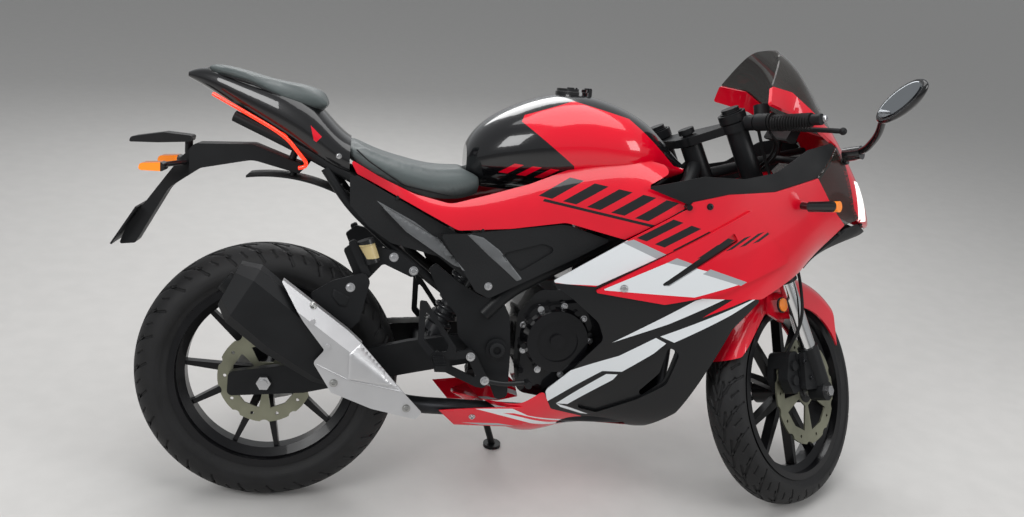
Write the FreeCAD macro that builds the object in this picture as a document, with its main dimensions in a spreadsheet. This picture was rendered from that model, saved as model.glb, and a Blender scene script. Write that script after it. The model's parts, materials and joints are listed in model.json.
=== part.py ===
import FreeCAD, Part
import math
import os
import Sketcher
from FreeCAD import Placement, Rotation, Vector

# Sport bike leaning on its side stand, forks turned to the left stop.
# Pieces are drawn on the upright bike: X forward from the rear axle, Y left, Z up
# from the ground, steering straight. A placement then turns the steered pieces
# about the steering axis and leans the whole bike over to its stand.

os.makedirs("parts", exist_ok=True)
doc = FreeCAD.newDocument("sport_bike")
sheet = doc.addObject("Spreadsheet::Sheet", "sizes")

SIZES = {
    # stance
    "wheelbase": 1340,
    "rake_angle": 25,
    "axle_lead": 30,
    "steering_lock": 39,
    "lean_angle": 10.98,
    # clearances
    "seat_gap": 0.3,
    "running_gap": 0.05,
    "rubber_gap": 0.2,
    # tyres and rims
    "rear_tyre_radius": 314,
    "rear_tyre_half": 70,
    "rear_crown_depth": 56,
    "rear_rim_half": 57,
    "front_tyre_radius": 293,
    "front_tyre_half": 55,
    "front_crown_depth": 44,
    "front_rim_half": 46,
    "rim_lip_radius": 230,
    "bead_radius": 219,
    "well_radius": 200,
    "rim_wall": 6,
    "spoke_pairs": 5,
    "spoke_width": 11,
    "spoke_depth": 26,
    "spoke_pair_angle": 15,
    "hub_radius": 30,
    "rear_hub_half": 88,
    "front_hub_half": 73,
    "axle_radius": 9,
    # brakes
    "front_disc_radius": 137,
    "rear_disc_radius": 112,
    "disc_thickness": 4.5,
    "disc_band": 34,
    "disc_waves": 10,
    "front_disc_offset": 70,
    "rear_disc_offset": 66,
    "disc_hole_radius": 4,
    # final drive
    "sprocket_radius": 96,
    "sprocket_teeth": 40,
    "sprocket_thickness": 6,
    "chain_offset": 84,
    "chain_height": 13,
    "chain_plate": 2.5,
    "chain_half_width": 8,
    "drive_sprocket_radius": 38,
    "drive_sprocket_x": 625,
    "drive_sprocket_z": 412,
    # fork
    "fork_spacing_half": 114,
    "fork_lead": 8,
    "fork_outer_radius": 27,
    "fork_inner_radius": 20.5,
    "fork_top_z": 971,
    "fork_outer_low_z": 560,
    "stem_radius": 13,
    "head_tube_radius": 27,
    "head_tube_low_z": 780,
    "head_tube_high_z": 925,
    "clamp_thickness": 26,
    # handlebars
    "bar_axis_z": 942,
    "bar_radius": 11,
    "grip_radius": 16.5,
    "grip_inner_y": 215,
    "grip_outer_y": 322,
    # frame
    "spar_radius": 19,
    "rail_radius": 13,
    "pivot_x": 539,
    "pivot_z": 420,
    "pivot_plate_y": 128,
    "pivot_plate_thickness": 12,
    "pivot_pin_radius": 8,
    "pivot_tube_radius": 17,
    # swingarm
    "swingarm_y": 104,
    "swingarm_thickness": 22,
    "spool_x": 150,
    "spool_z": 325,
    "spool_thread_radius": 4,
    # engine
    "crankcase_half": 100,
    "clutch_x": 685,
    "clutch_z": 443,
    "clutch_radius": 80,
    "clutch_depth": 44,
    # exhaust
    "pipe_radius": 20,
    # bodywork
    "panel_thickness": 4,
    # plate bracket
    "plate_x": -330,
    "plate_z": 660,
    "plate_tilt": -32,
    "plate_bracket_thickness": 4,
    "plate_hole_y": 45,
    "plate_hole_z": 30,
    "plate_hole_radius": 3,
    # filler cap
    "cap_seat_z": 1034,
    "cap_radius": 38,
    "cap_thickness": 7,
    # side stand
    "stand_pivot_x": 515,
    "stand_pivot_y": 142,
    "stand_pivot_z": 290,
    "stand_foot_x": 598,
    "stand_foot_y": 238,
    "stand_leg_radius": 9,
    "stand_pin_radius": 6,
    "stand_knuckle_half": 10,
}

for row, (name, value) in enumerate(SIZES.items(), start=1):
    sheet.set(f"A{row}", name)
    sheet.set(f"B{row}", str(value))
    sheet.setAlias(f"B{row}", name)
doc.recompute()


def size(name):
    """Value of a driving dimension."""
    return float(sheet.get(name))


UP = Vector(0, 0, 1)
LEFT = Vector(0, 1, 0)
FORWARD = Vector(1, 0, 0)
pieces = {}


# Stance of the bike

rake = math.radians(size("rake_angle"))
lock = size("steering_lock")
steering_up = Vector(-math.sin(rake), 0, math.cos(rake))
fork_forward = Vector(math.cos(rake), 0, math.sin(rake))
rear_centre = Vector(0, 0, size("rear_tyre_radius"))
front_centre = Vector(size("wheelbase"), 0, size("front_tyre_radius"))
steering_foot = front_centre - fork_forward * size("axle_lead")
steered = Placement(Vector(), Rotation(steering_up, lock), steering_foot)


def steering_x(height):
    """X of the steering axis at a height."""
    return steering_foot.x - (height - steering_foot.z) * math.tan(rake)


def crown_low(centre, radius, half, depth, place):
    """Lowest world Z of a tyre whose crown is half an ellipse."""
    middle = place.multVec(centre)
    axis = place.Rotation.multVec(LEFT)
    tilt = math.asin(min(1.0, abs(axis.z)))
    reach = radius - depth
    return middle.z - reach * math.cos(tilt) - math.hypot(
        half * math.sin(tilt), depth * math.cos(tilt))


def settle():
    """Placement that leans the bike and rests both tyres on the ground."""
    lean = Rotation(FORWARD, -size("lean_angle"))
    pitch = 0.0
    for _ in range(8):
        stance = Placement(Vector(), Rotation(LEFT, math.degrees(pitch)).multiply(lean))
        rear = crown_low(rear_centre, size("rear_tyre_radius"), size("rear_tyre_half"),
                         size("rear_crown_depth"), stance)
        front = crown_low(front_centre, size("front_tyre_radius"), size("front_tyre_half"),
                          size("front_crown_depth"), stance.multiply(steered))
        pitch += (front - rear) / size("wheelbase")
    return Placement(Vector(0, 0, -rear), stance.Rotation)


stance = settle()
steered_stance = stance.multiply(steered)


# Shape helpers

def unit(vector):
    """Copy of a vector with length one."""
    return Vector(vector).normalize()


def rounded_wire(corners, y=0):
    """Closed wire in an XZ plane through corners (x, z, radius)."""
    stops = []
    for index, (x, z, radius) in enumerate(corners):
        here = Vector(x, y, z)
        before = corners[index - 1]
        after = corners[(index + 1) % len(corners)]
        back = Vector(before[0], y, before[1]) - here
        ahead = Vector(after[0], y, after[1]) - here
        half = back.getAngle(ahead) / 2
        reach = min(radius / math.tan(half), 0.48 * back.Length, 0.48 * ahead.Length)
        bend = reach * math.tan(half)
        inward = unit(unit(back) + unit(ahead))
        middle = here + inward * (bend / math.sin(half) - bend)
        stops.append((here + unit(back) * reach, middle, here + unit(ahead) * reach, bend))
    edges = []
    for index, (start, middle, end, bend) in enumerate(stops):
        if bend > 0.05:
            edges.append(Part.Arc(start, middle, end).toShape())
        following = stops[(index + 1) % len(stops)][0]
        if (following - end).Length > 1e-4:
            edges.append(Part.LineSegment(end, following).toShape())
    return Part.Wire(edges)


def prism(corners, low_y, high_y):
    """Outline of the side view extruded between two Y values."""
    face = Part.Face(rounded_wire(corners, low_y))
    return face.extrude(Vector(0, high_y - low_y, 0))


def ring(x, low, high, half, square=2.5, pinch=0.0, middle_y=0.0, points=16):
    """Smooth closed section at one X: a squared ellipse pinched in below its middle."""
    middle = (low + high) / 2
    rise = (high - low) / 2
    spots = []
    for step in range(points):
        angle = 2 * math.pi * (step + 0.5) / points
        across = math.copysign(abs(math.cos(angle)) ** (2 / square), math.cos(angle))
        along = math.copysign(abs(math.sin(angle)) ** (2 / square), math.sin(angle))
        narrow = 1 - pinch * max(0.0, -along) ** 1.5
        spots.append(Vector(x, middle_y + half * across * narrow, middle + rise * along))
    curve = Part.BSplineCurve()
    curve.interpolate(Points=spots, PeriodicFlag=True)
    return Part.Wire(curve.toShape())


def loft(stations):
    """Solid through rings, each station the arguments of a ring."""
    return Part.makeLoft([ring(*station) for station in stations], True, False)


def rod(start, end, radius):
    """Round bar between two points."""
    return Part.makeCylinder(radius, (end - start).Length, start, end - start)


def bent_tube(points, radius, inner=0.0):
    """Round tube along straight runs joined by tangent arcs as large as the runs allow."""
    edges = []
    last = points[0]
    for before, corner, after in zip(points, points[1:], points[2:]):
        back = before - corner
        ahead = after - corner
        half = back.getAngle(ahead) / 2
        reach = 0.45 * min(back.Length, ahead.Length)
        bend = reach * math.tan(half)
        start = corner + unit(back) * reach
        end = corner + unit(ahead) * reach
        inward = unit(unit(back) + unit(ahead))
        middle = corner + inward * (bend / math.sin(half) - bend)
        edges.append(Part.LineSegment(last, start).toShape())
        edges.append(Part.Arc(start, middle, end).toShape())
        last = end
    edges.append(Part.LineSegment(last, points[-1]).toShape())
    path = Part.Wire(edges)
    direction = points[1] - points[0]
    outside = Part.Wire(Part.Circle(points[0], direction, radius).toShape())
    tube = path.makePipeShell([outside], True, True)
    if inner > 0:
        inside = Part.Wire(Part.Circle(points[0], direction, inner).toShape())
        tube = tube.cut(path.makePipeShell([inside], True, True))
    return tube


def mirrored(shape):
    """Copy of a shape on the other side of the bike."""
    return shape.mirror(Vector(), LEFT)


def both_sides(shape):
    """A shape and its mirror image as one compound."""
    return Part.makeCompound([shape, mirrored(shape)])


def fuse(shapes):
    """One shape from several that meet."""
    joined = shapes[0].multiFuse(shapes[1:])
    return joined.removeSplitter()


def largest(shape, count=1):
    """The biggest solids of a shape."""
    solids = sorted(shape.Solids, key=lambda solid: solid.Volume, reverse=True)
    return Part.makeCompound(solids[:count]) if count > 1 else solids[0]


def keep(label, shape, place=None):
    """Make a free-form sub-part of a finished shape."""
    feature = doc.addObject("Part::Feature", label)
    feature.Shape = shape
    feature.Placement = place or stance
    feature.Label = label
    pieces[label] = feature
    return feature


def keep_object(label, item, place):
    """Make a parametric object a sub-part."""
    item.Label = label
    item.Placement = place
    pieces[label] = item


# Sketched bodies

def origin_plane(body, role):
    """Origin plane of a body, found by its role."""
    return next(item for item in body.Origin.OriginFeatures if item.Role == role)


def sketch_on(body, role, name):
    """Empty sketch on one of the body's own planes."""
    sketch = body.newObject("Sketcher::SketchObject", name)
    sketch.AttachmentSupport = [(origin_plane(body, role), "")]
    sketch.MapMode = "FlatFace"
    return sketch


def draw_polygon(sketch, corners, bound=None):
    """Closed polygon; bound gives expressions for the X and Y of some corners."""
    first = sketch.GeometryCount
    count = len(corners)
    for index in range(count):
        here = Vector(*corners[index], 0)
        after = Vector(*corners[(index + 1) % count], 0)
        sketch.addGeometry(Part.LineSegment(here, after))
    for index in range(count):
        sketch.addConstraint(Sketcher.Constraint(
            "Coincident", first + index, 2, first + (index + 1) % count, 1))
    for index, kind, expression in bound or []:
        value = corners[index][0 if kind == "DistanceX" else 1]
        number = sketch.addConstraint(Sketcher.Constraint(
            kind, -1, 1, first + index, 1, value))
        sketch.setExpression(f"Constraints[{number}]", expression)


def draw_circle(sketch, x, y, radius, expression):
    """Circle whose radius follows the sheet."""
    index = sketch.addGeometry(Part.Circle(Vector(x, y, 0), Vector(0, 0, 1), radius))
    number = sketch.addConstraint(Sketcher.Constraint("Radius", index, radius))
    sketch.setExpression(f"Constraints[{number}]", expression)
    if x == 0 and y == 0:
        sketch.addConstraint(Sketcher.Constraint("Coincident", index, 3, -1, 1))


def revolve(body, sketch, name):
    """Full turn of a sketch about its own upright axis."""
    turned = body.newObject("PartDesign::Revolution", name)
    turned.Profile = sketch
    turned.ReferenceAxis = (sketch, ["V_Axis"])
    turned.Angle = 360
    return turned


def pad(body, sketch, name, expression):
    """Pad to both sides of the sketch plane."""
    raised = body.newObject("PartDesign::Pad", name)
    raised.Profile = sketch
    raised.SideType = "Symmetric"
    raised.setExpression("Length", expression)
    return raised


def pocket(body, sketch, name):
    """Cut right through to both sides of the sketch plane."""
    hole = body.newObject("PartDesign::Pocket", name)
    hole.Profile = sketch
    hole.SideType = "Symmetric"
    hole.Length = 600
    return hole


def polar(body, feature, sketch, name, expression):
    """Repeat a feature round the sketch's normal."""
    pattern = body.newObject("PartDesign::PolarPattern", name)
    pattern.Originals = [feature]
    pattern.Axis = (sketch, ["N_Axis"])
    pattern.Angle = 360
    pattern.setExpression("Occurrences", expression)
    body.Tip = pattern
    return pattern


def wheel_place(centre, base):
    """Placement of a wheel piece drawn about its own centre."""
    return base.multiply(Placement(centre, Rotation()))


def tyre(label, end, place):
    """Road tyre: round crown, straight walls and a bead between the rim's lips."""
    body = doc.addObject("PartDesign::Body", label)
    sketch = sketch_on(body, "XY_Plane", f"{label}_section")
    radius = size(f"{end}_tyre_radius")
    half = size(f"{end}_tyre_half")
    depth = size(f"{end}_crown_depth")
    bead = size("bead_radius") + size("seat_gap")
    inside = size(f"{end}_rim_half") - 5
    lip = size("rim_lip_radius")
    widest = radius - depth
    crown = Part.Ellipse(Vector(widest, half, 0), Vector(widest - depth, 0, 0),
                         Vector(widest, 0, 0))
    sketch.addGeometry(Part.ArcOfEllipse(crown, -math.pi, 0))
    wall = [Vector(widest, -half, 0), Vector(lip + 1, -inside - 1, 0), Vector(bead, -inside, 0),
            Vector(bead, inside, 0), Vector(lip + 1, inside + 1, 0), Vector(widest, half, 0)]
    ends = sketch.Geometry[0]
    wall[0], wall[-1] = sorted([ends.StartPoint, ends.EndPoint], key=lambda spot: spot.y)
    for here, after in zip(wall, wall[1:]):
        sketch.addGeometry(Part.LineSegment(here, after))
    for index in range(len(wall)):
        sketch.addConstraint(Sketcher.Constraint("Coincident", index, 2 if index else 1,
                                                 (index + 1) % len(wall), 1 if index < 5 else 2))
    revolve(body, sketch, f"{label}_turn")
    keep_object(label, body, place)


def rim(label, end, phase, place):
    """Cast wheel: drop-centre rim, pairs of thin spokes and a hub with its axle bore."""
    body = doc.addObject("PartDesign::Body", label)
    half = size(f"{end}_rim_half")
    lip = size("rim_lip_radius")
    bead = size("bead_radius")
    well = size("well_radius")
    wall = size("rim_wall")
    edge = [(lip, half), (lip, half - 4), (bead, half - 5), (bead, half * 0.62), (well, half * 0.42)]
    inner = [(well - wall, half * 0.36), (bead - wall, half * 0.56), (bead - wall, half)]
    lower = [(r, -y) for r, y in reversed(edge)]
    under = [(r, -y) for r, y in reversed(inner)]
    barrel = sketch_on(body, "XY_Plane", f"{label}_barrel")
    draw_polygon(barrel, edge + lower + under + inner,
                 [(0, "DistanceX", "sizes.rim_lip_radius"),
                  (0, "DistanceY", f"sizes.{end}_rim_half")])
    revolve(body, barrel, f"{label}_turn")
    spoke = sketch_on(body, "XZ_Plane", f"{label}_spoke")
    outer_reach = well - wall / 2
    spread = math.tan(math.radians(size("spoke_pair_angle")))
    width = size("spoke_width")
    root = size("hub_radius") * 0.6

    def turned(distance, across):
        angle = math.radians(phase)
        return (distance * math.cos(angle) - across * math.sin(angle),
                distance * math.sin(angle) + across * math.cos(angle))

    outside = outer_reach * spread + width / 2
    draw_polygon(spoke, [turned(root, -width), turned(outer_reach, -outside),
                         turned(outer_reach, outside), turned(root, width)])
    apex = root + 42
    inside = outer_reach * spread - width / 2
    draw_polygon(spoke, [turned(apex, 0), turned(outer_reach - 1, -inside),
                         turned(outer_reach - 1, inside)])
    spokes = pad(body, spoke, f"{label}_pair", "sizes.spoke_depth")
    polar(body, spokes, spoke, f"{label}_pairs", "sizes.spoke_pairs")
    hub = sketch_on(body, "XZ_Plane", f"{label}_hub")
    draw_circle(hub, 0, 0, size("hub_radius"), "sizes.hub_radius")
    body.Tip = pad(body, hub, f"{label}_hub_pad", f"2 * sizes.{end}_hub_half")
    bore = sketch_on(body, "XZ_Plane", f"{label}_bore")
    draw_circle(bore, 0, 0, size("axle_radius"), "sizes.axle_radius + sizes.running_gap")
    body.Tip = pocket(body, bore, f"{label}_bore_cut")
    keep_object(label, body, place)


def brake_disc(label, end, place):
    """Wave-edged disc with drilled holes and a spider that bolts to the hub."""
    body = doc.addObject("PartDesign::Body", label)
    radius = size(f"{end}_disc_radius")
    band = size("disc_band")
    waves = int(size("disc_waves"))
    hub = size("hub_radius")
    face = sketch_on(body, "XZ_Plane", f"{label}_face")
    draw_circle(face, 0, 0, radius, f"sizes.{end}_disc_radius")
    draw_circle(face, 0, 0, hub + size("seat_gap"), "sizes.hub_radius + sizes.seat_gap")
    pad(body, face, f"{label}_pad", "sizes.disc_thickness")
    notch = sketch_on(body, "XZ_Plane", f"{label}_notch")
    notch_radius = radius * 0.12
    draw_circle(notch, 0, radius + notch_radius * 0.62, notch_radius,
                f"sizes.{end}_disc_radius * 0.12")
    cut = pocket(body, notch, f"{label}_wave")
    polar(body, cut, notch, f"{label}_waves", "sizes.disc_waves")
    window = sketch_on(body, "XZ_Plane", f"{label}_window")
    low = hub + 9
    high = radius - band
    spread = math.radians(360 / 5) * 0.36
    draw_polygon(window, [(low * math.sin(-spread), low * math.cos(spread)),
                          (high * math.sin(-spread), high * math.cos(spread)),
                          (0, high * 1.02),
                          (high * math.sin(spread), high * math.cos(spread)),
                          (low * math.sin(spread), low * math.cos(spread))])
    opening = pocket(body, window, f"{label}_gap")
    polar(body, opening, window, f"{label}_gaps", "5")
    hole = sketch_on(body, "XZ_Plane", f"{label}_hole")
    angle = math.pi / waves
    middle = radius - band / 2
    draw_circle(hole, middle * math.sin(angle), middle * math.cos(angle),
                size("disc_hole_radius"), "sizes.disc_hole_radius")
    drilled = pocket(body, hole, f"{label}_drill")
    polar(body, drilled, hole, f"{label}_holes", "sizes.disc_waves")
    keep_object(label, body, place)


def sprocket(label, place):
    """Rear sprocket with its teeth and lightening holes."""
    body = doc.addObject("PartDesign::Body", label)
    radius = size("sprocket_radius")
    root = radius - 7
    pitch = math.pi / size("sprocket_teeth")
    face = sketch_on(body, "XZ_Plane", f"{label}_face")
    draw_circle(face, 0, 0, root, "sizes.sprocket_radius - 7")
    draw_circle(face, 0, 0, size("hub_radius") + size("seat_gap"),
                "sizes.hub_radius + sizes.seat_gap")
    pad(body, face, f"{label}_pad", "sizes.sprocket_thickness")
    tooth = sketch_on(body, "XZ_Plane", f"{label}_tooth")
    draw_polygon(tooth, [(-root * pitch * 0.7, root - 1), (root * pitch * 0.7, root - 1),
                         (radius * pitch * 0.3, radius), (-radius * pitch * 0.3, radius)])
    raised = pad(body, tooth, f"{label}_tooth_pad", "sizes.sprocket_thickness")
    polar(body, raised, tooth, f"{label}_teeth", "sizes.sprocket_teeth")
    hole = sketch_on(body, "XZ_Plane", f"{label}_hole")
    middle = (root + size("hub_radius")) / 2
    draw_circle(hole, 0, middle, 14, "(sizes.sprocket_radius - sizes.hub_radius) * 0.21")
    cut = pocket(body, hole, f"{label}_hole_cut")
    polar(body, cut, hole, f"{label}_holes", "5")
    keep_object(label, body, place)


def wheels():
    """Both wheels with their discs and the rear sprocket."""
    rear = wheel_place(rear_centre, stance)
    front = wheel_place(front_centre, steered_stance)
    tyre("rear_tyre", "rear", rear)
    rim("rear_rim", "rear", -25, rear)
    tyre("front_tyre", "front", front)
    rim("front_rim", "front", 3.5, front)
    disc_rear = rear_centre + Vector(0, -size("rear_disc_offset"), 0)
    brake_disc("rear_disc", "rear", wheel_place(disc_rear, stance))
    disc_front = front_centre + Vector(0, -size("front_disc_offset"), 0)
    brake_disc("front_disc", "front", wheel_place(disc_front, steered_stance))
    chain_line = rear_centre + Vector(0, size("chain_offset"), 0)
    sprocket("rear_sprocket", wheel_place(chain_line, stance))



def side(x, z, y):
    """Point from its place in the side view and its Y."""
    return Vector(x, y, z)


def along_y(x, z, low_y, high_y, radius):
    """Round bar across the bike."""
    return rod(Vector(x, low_y, z), Vector(x, high_y, z), radius)


def hexagon(x, z, low_y, high_y, across):
    """Six-sided nut or bolt head across the bike."""
    spots = [Vector(x + across * math.cos(math.pi / 3 * k), low_y,
                    z + across * math.sin(math.pi / 3 * k)) for k in range(7)]
    return Part.Face(Part.makePolygon(spots)).extrude(Vector(0, high_y - low_y, 0))


def on_fork(height, ahead=0.0, y=0.0):
    """Point at a height on the steering axis, moved forward square to it and sideways."""
    foot = Vector(steering_x(height), 0, height)
    return foot + fork_forward * ahead + LEFT * y


# Frame

plate_inner = size("pivot_plate_y") - size("pivot_plate_thickness") / 2
plate_outer = size("pivot_plate_y") + size("pivot_plate_thickness") / 2
fork_ahead = size("axle_lead") + size("fork_lead")


def main_frame():
    """Head tube, two spars, down tubes, pivot plates and the cross tubes between them."""
    radius = size("spar_radius")
    low = on_fork(size("head_tube_low_z"))
    high = on_fork(size("head_tube_high_z"))
    y = size("pivot_plate_y") - 4
    tubes = [rod(low, high, size("head_tube_radius"))]
    head = on_fork(size("head_tube_high_z") - 40)
    spar = [head, side(985, 812, -72), side(850, 722, -y + 6), side(690, 636, -y),
            side(560, 560, -y), side(505, 500, -y)]
    foot = on_fork(size("head_tube_low_z") + 35)
    down = [foot, side(1000, 755, -40), side(978, 690, -66), side(960, 520, -88)]
    plate = prism([(368, 604, 8), (384, 618, 8), (440, 576, 30), (496, 544, 14), (548, 536, 14),
                   (566, 500, 20), (574, 420, 24), (574, 300, 14), (546, 292, 14), (520, 352, 24),
                   (478, 414, 24), (446, 446, 20), (440, 496, 20), (394, 552, 20)],
                  -plate_outer, -plate_inner)
    for half in (bent_tube(spar, radius), bent_tube(down, radius * 0.7), plate):
        tubes += [half, mirrored(half)]
    tubes.append(along_y(520, 500, -plate_inner - 2, plate_inner + 2, radius * 0.8))
    tubes.append(along_y(552, 318, -plate_inner - 2, plate_inner + 2, radius * 0.7))
    frame = fuse(tubes)
    frame = frame.cut(rod(on_fork(size("head_tube_low_z") - 60), on_fork(size("head_tube_high_z") + 60),
                          size("stem_radius") + size("running_gap")))
    hole = along_y(size("pivot_x"), size("pivot_z"), -200, 200, size("pivot_pin_radius"))
    return frame.cut(hole)


def subframe():
    """Seat rails with their struts and cross tubes."""
    radius = size("rail_radius")
    rail = bent_tube([side(560, 596, -112), side(430, 668, -108), side(250, 770, -98),
                      side(60, 862, -78), side(-90, 925, -55)], radius)
    strut = bent_tube([side(478, 500, -108), side(340, 600, -106), side(180, 735, -100),
                       side(120, 820, -88)], radius * 0.85)
    half = rail.fuse(strut)
    cross = [along_y(430, 668, -108, 108, radius * 0.8), along_y(60, 862, -78, 78, radius * 0.8)]
    return fuse([half, mirrored(half)] + cross)


def swingarm():
    """Two box arms, the brace ahead of the tyre and the pivot tube."""
    inner = size("swingarm_y") - size("swingarm_thickness") / 2
    outer = size("swingarm_y") + size("swingarm_thickness") / 2
    arm = prism([(-84, 279, 12), (-82, 337, 14), (60, 358, 40), (330, 425, 40), (520, 456, 20),
                 (562, 440, 20), (562, 396, 20), (520, 385, 20), (330, 345, 60), (92, 291, 40)],
                -outer, -inner)
    brace = prism([(345, 352, 12), (350, 412, 14), (425, 412, 14), (430, 362, 12)],
                  -inner - 1, inner + 1)
    tube = along_y(size("pivot_x"), size("pivot_z"), -plate_inner + size("seat_gap"),
                   plate_inner - size("seat_gap"), size("pivot_tube_radius"))
    whole = fuse([arm, mirrored(arm), brace, tube])
    for x, z, radius in ((size("pivot_x"), size("pivot_z"), size("pivot_pin_radius")),
                         (0, rear_centre.z, size("axle_radius")),
                         (size("spool_x"), size("spool_z"), size("spool_thread_radius"))):
        whole = whole.cut(along_y(x, z, -200, 200, radius))
    return whole


def pivot_bolt():
    """Bolt that carries the swingarm, with its cap and nut."""
    x, z = size("pivot_x"), size("pivot_z")
    reach = plate_outer
    return fuse([along_y(x, z, -reach - 6, reach + 6, size("pivot_pin_radius")),
                 along_y(x, z, -reach - 9, -reach, 19),
                 hexagon(x, z, reach, reach + 9, 16)])


def rear_axle():
    """Rear axle with a nut at each end and the chain adjuster blocks."""
    outer = size("swingarm_y") + size("swingarm_thickness") / 2
    z = rear_centre.z
    return fuse([along_y(0, z, -outer - 16, outer + 16, size("axle_radius")),
                 hexagon(0, z, -outer - 12, -outer, 17), hexagon(0, z, outer, outer + 12, 17)])


def rear_shock():
    """Single damper with its coil spring between brace and frame."""
    low = Vector(395, 0, 412)
    high = Vector(500, 0, 640)
    line = unit(high - low)
    body = rod(low, low + line * 150, 15)
    shaft = rod(low, high, 8)
    coils = [Part.makeTorus(27, 5.5, low + line * (40 + 21 * k), line) for k in range(8)]
    top = rod(low + line * 205, high, 26)
    seat = rod(low + line * 14, low + line * 34, 32)
    sleeve = rod(low + line * 20, low + line * 215, 22)
    return fuse([body, shaft, top, seat, sleeve] + coils)


# Engine

def engine_block():
    """Crankcase and cylinder as one plain block with the output sprocket."""
    half = size("crankcase_half")
    case = prism([(600, 305, 30), (900, 255, 30), (955, 330, 40), (945, 470, 40), (860, 565, 20),
                  (640, 560, 30), (590, 500, 30), (588, 380, 30)], -half, half)
    cylinder = prism([(705, 550, 5), (862, 550, 5), (925, 690, 10), (885, 752, 25),
                      (790, 752, 25), (735, 690, 20)], -82, 82)
    fins = [prism([(716 + 12 * k, 578 + 22 * k, 2), (884 + 10 * k, 570 + 22 * k, 2),
                   (886 + 10 * k, 576 + 22 * k, 2), (718 + 12 * k, 584 + 22 * k, 2)], -92, 92)
            for k in range(5)]
    pocket_y = size("chain_offset") - 14
    x, z = size("drive_sprocket_x"), size("drive_sprocket_z")
    room = size("drive_sprocket_radius") + 19
    bay = prism([(560, z - room - 30, 5), (x + 20, z - room, 30), (x + room, z, 20),
                 (x + 20, z + room, 30), (560, z + room, 5)], pocket_y, half + 5)
    line = size("chain_offset")
    gear = along_y(x, z, line - size("sprocket_thickness") / 2,
                   line + size("sprocket_thickness") / 2, size("drive_sprocket_radius") - 4)
    shaft = along_y(x, z, pocket_y - 5, line + 10, 12)
    return fuse([fuse([case, cylinder] + fins).cut(bay), gear, shaft])


def engine_covers():
    """Round clutch cover with its bolt ring on the right, generator and sprocket covers left."""
    half = size("crankcase_half")
    x, z = size("clutch_x"), size("clutch_z")
    radius = size("clutch_radius")
    depth = size("clutch_depth")
    face = -half - depth
    cup = Part.makeCone(radius + 6, radius - 6, depth, Vector(x, -half, z), Vector(0, -1, 0))
    inset = rod(Vector(x, face - 1, z), Vector(x, face + 7, z), radius * 0.62)
    boss = rod(Vector(x, face + 7, z), Vector(x, face - 3, z), radius * 0.22)
    skirt = prism([(600, 330, 20), (880, 300, 20), (905, 380, 30), (880, 500, 30), (760, 540, 20),
                   (620, 520, 30), (602, 420, 20)], -half - 20, -half)
    bolts = []
    for step in range(8):
        angle = 2 * math.pi * step / 8 + 0.2
        spot = Vector(x + (radius + 1) * math.cos(angle), 0, z + (radius + 1) * math.sin(angle))
        bolts.append(along_y(spot.x, spot.z, -half - 32, -half - 2, 7))
    right = fuse([skirt, cup] + bolts).cut(inset).fuse(boss)
    generator = Part.makeCone(74, 62, 46, Vector(790, half, 405), Vector(0, 1, 0))
    gear_x, gear_z = size("drive_sprocket_x"), size("drive_sprocket_z")
    guard = prism([(gear_x - 52, gear_z - 54, 20), (gear_x + 54, gear_z - 50, 20),
                   (gear_x + 60, gear_z + 52, 20), (gear_x - 40, gear_z + 60, 20)],
                  half + size("seat_gap"), half + 26)
    left = generator.fuse(guard)
    return Part.makeCompound([right, left])


def radiator():
    """Finned radiator with its side tanks and hoses."""
    core = prism([(1008, 430, 3), (1040, 430, 3), (1050, 650, 3), (1018, 650, 3)], -120, 120)
    tanks = prism([(1003, 425, 4), (1045, 425, 4), (1055, 655, 4), (1013, 655, 4)], -140, -120)
    hose = bent_tube([Vector(1020, -130, 620), Vector(985, -126, 615), Vector(955, -105, 640),
                      Vector(915, -88, 640)], 13)
    return fuse([core, tanks, mirrored(tanks), hose])


EXHAUST_ROUTE = [Vector(900, -30, 640), Vector(975, -30, 600), Vector(982, -34, 420),
                 Vector(970, -40, 290), Vector(900, -55, 238), Vector(700, -70, 244),
                 Vector(560, -78, 250), Vector(440, -84, 257), Vector(365, -112, 268),
                 Vector(262, -178, 302), Vector(205, -186, 338)]


def exhaust_pipe():
    """Header from the cylinder down ahead of the crankcase and back to the silencer."""
    return bent_tube(EXHAUST_ROUTE, size("pipe_radius"), size("pipe_radius") - 2.5)


def exhaust_room():
    """Space that the panels leave round the exhaust pipe."""
    return bent_tube(EXHAUST_ROUTE, size("pipe_radius") + 6)


muffler_foot = Vector(190, -186, 350)
muffler_line = unit(Vector(-0.79, -0.02, 0.615))
muffler_up = unit(Vector(0.615, 0, 0.79))


def muffler_point(along, up, across):
    """Point in the silencer's own frame."""
    outward = muffler_line.cross(muffler_up)
    return muffler_foot + muffler_line * along + muffler_up * up + outward * across


def faceted(along, low, high, half, corner, slant=0.0):
    """Eight-sided section of the silencer; slant tips its plane."""
    spots = [(half, low + corner), (half, high - corner), (half - corner, high),
             (corner - half, high), (-half, high - corner), (-half, low + corner),
             (corner - half, low), (half - corner, low)]
    spots.append(spots[0])
    return Part.makePolygon([muffler_point(along + slant * up, up, across) for across, up in spots])


def muffler():
    """Faceted silencer can with a recessed end and its outlet."""
    can = Part.makeLoft([faceted(0, -26, 26, 26, 12), faceted(60, -48, 52, 42, 16),
                         faceted(190, -64, 76, 50, 22), faceted(300, -62, 78, 52, 24, 0.12)],
                        True, True)
    cap = Part.makeLoft([faceted(300, -62, 78, 52, 24, 0.12), faceted(338, -44, 58, 38, 18, 0.2)],
                        True, True)
    outlet = rod(muffler_point(250, 4, 0), muffler_point(420, 4, 0), 19)
    rim_tube = rod(muffler_point(320, 4, 0), muffler_point(352, 4, 0), 24)
    return fuse([can, cap, rim_tube]).cut(outlet)


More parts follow.
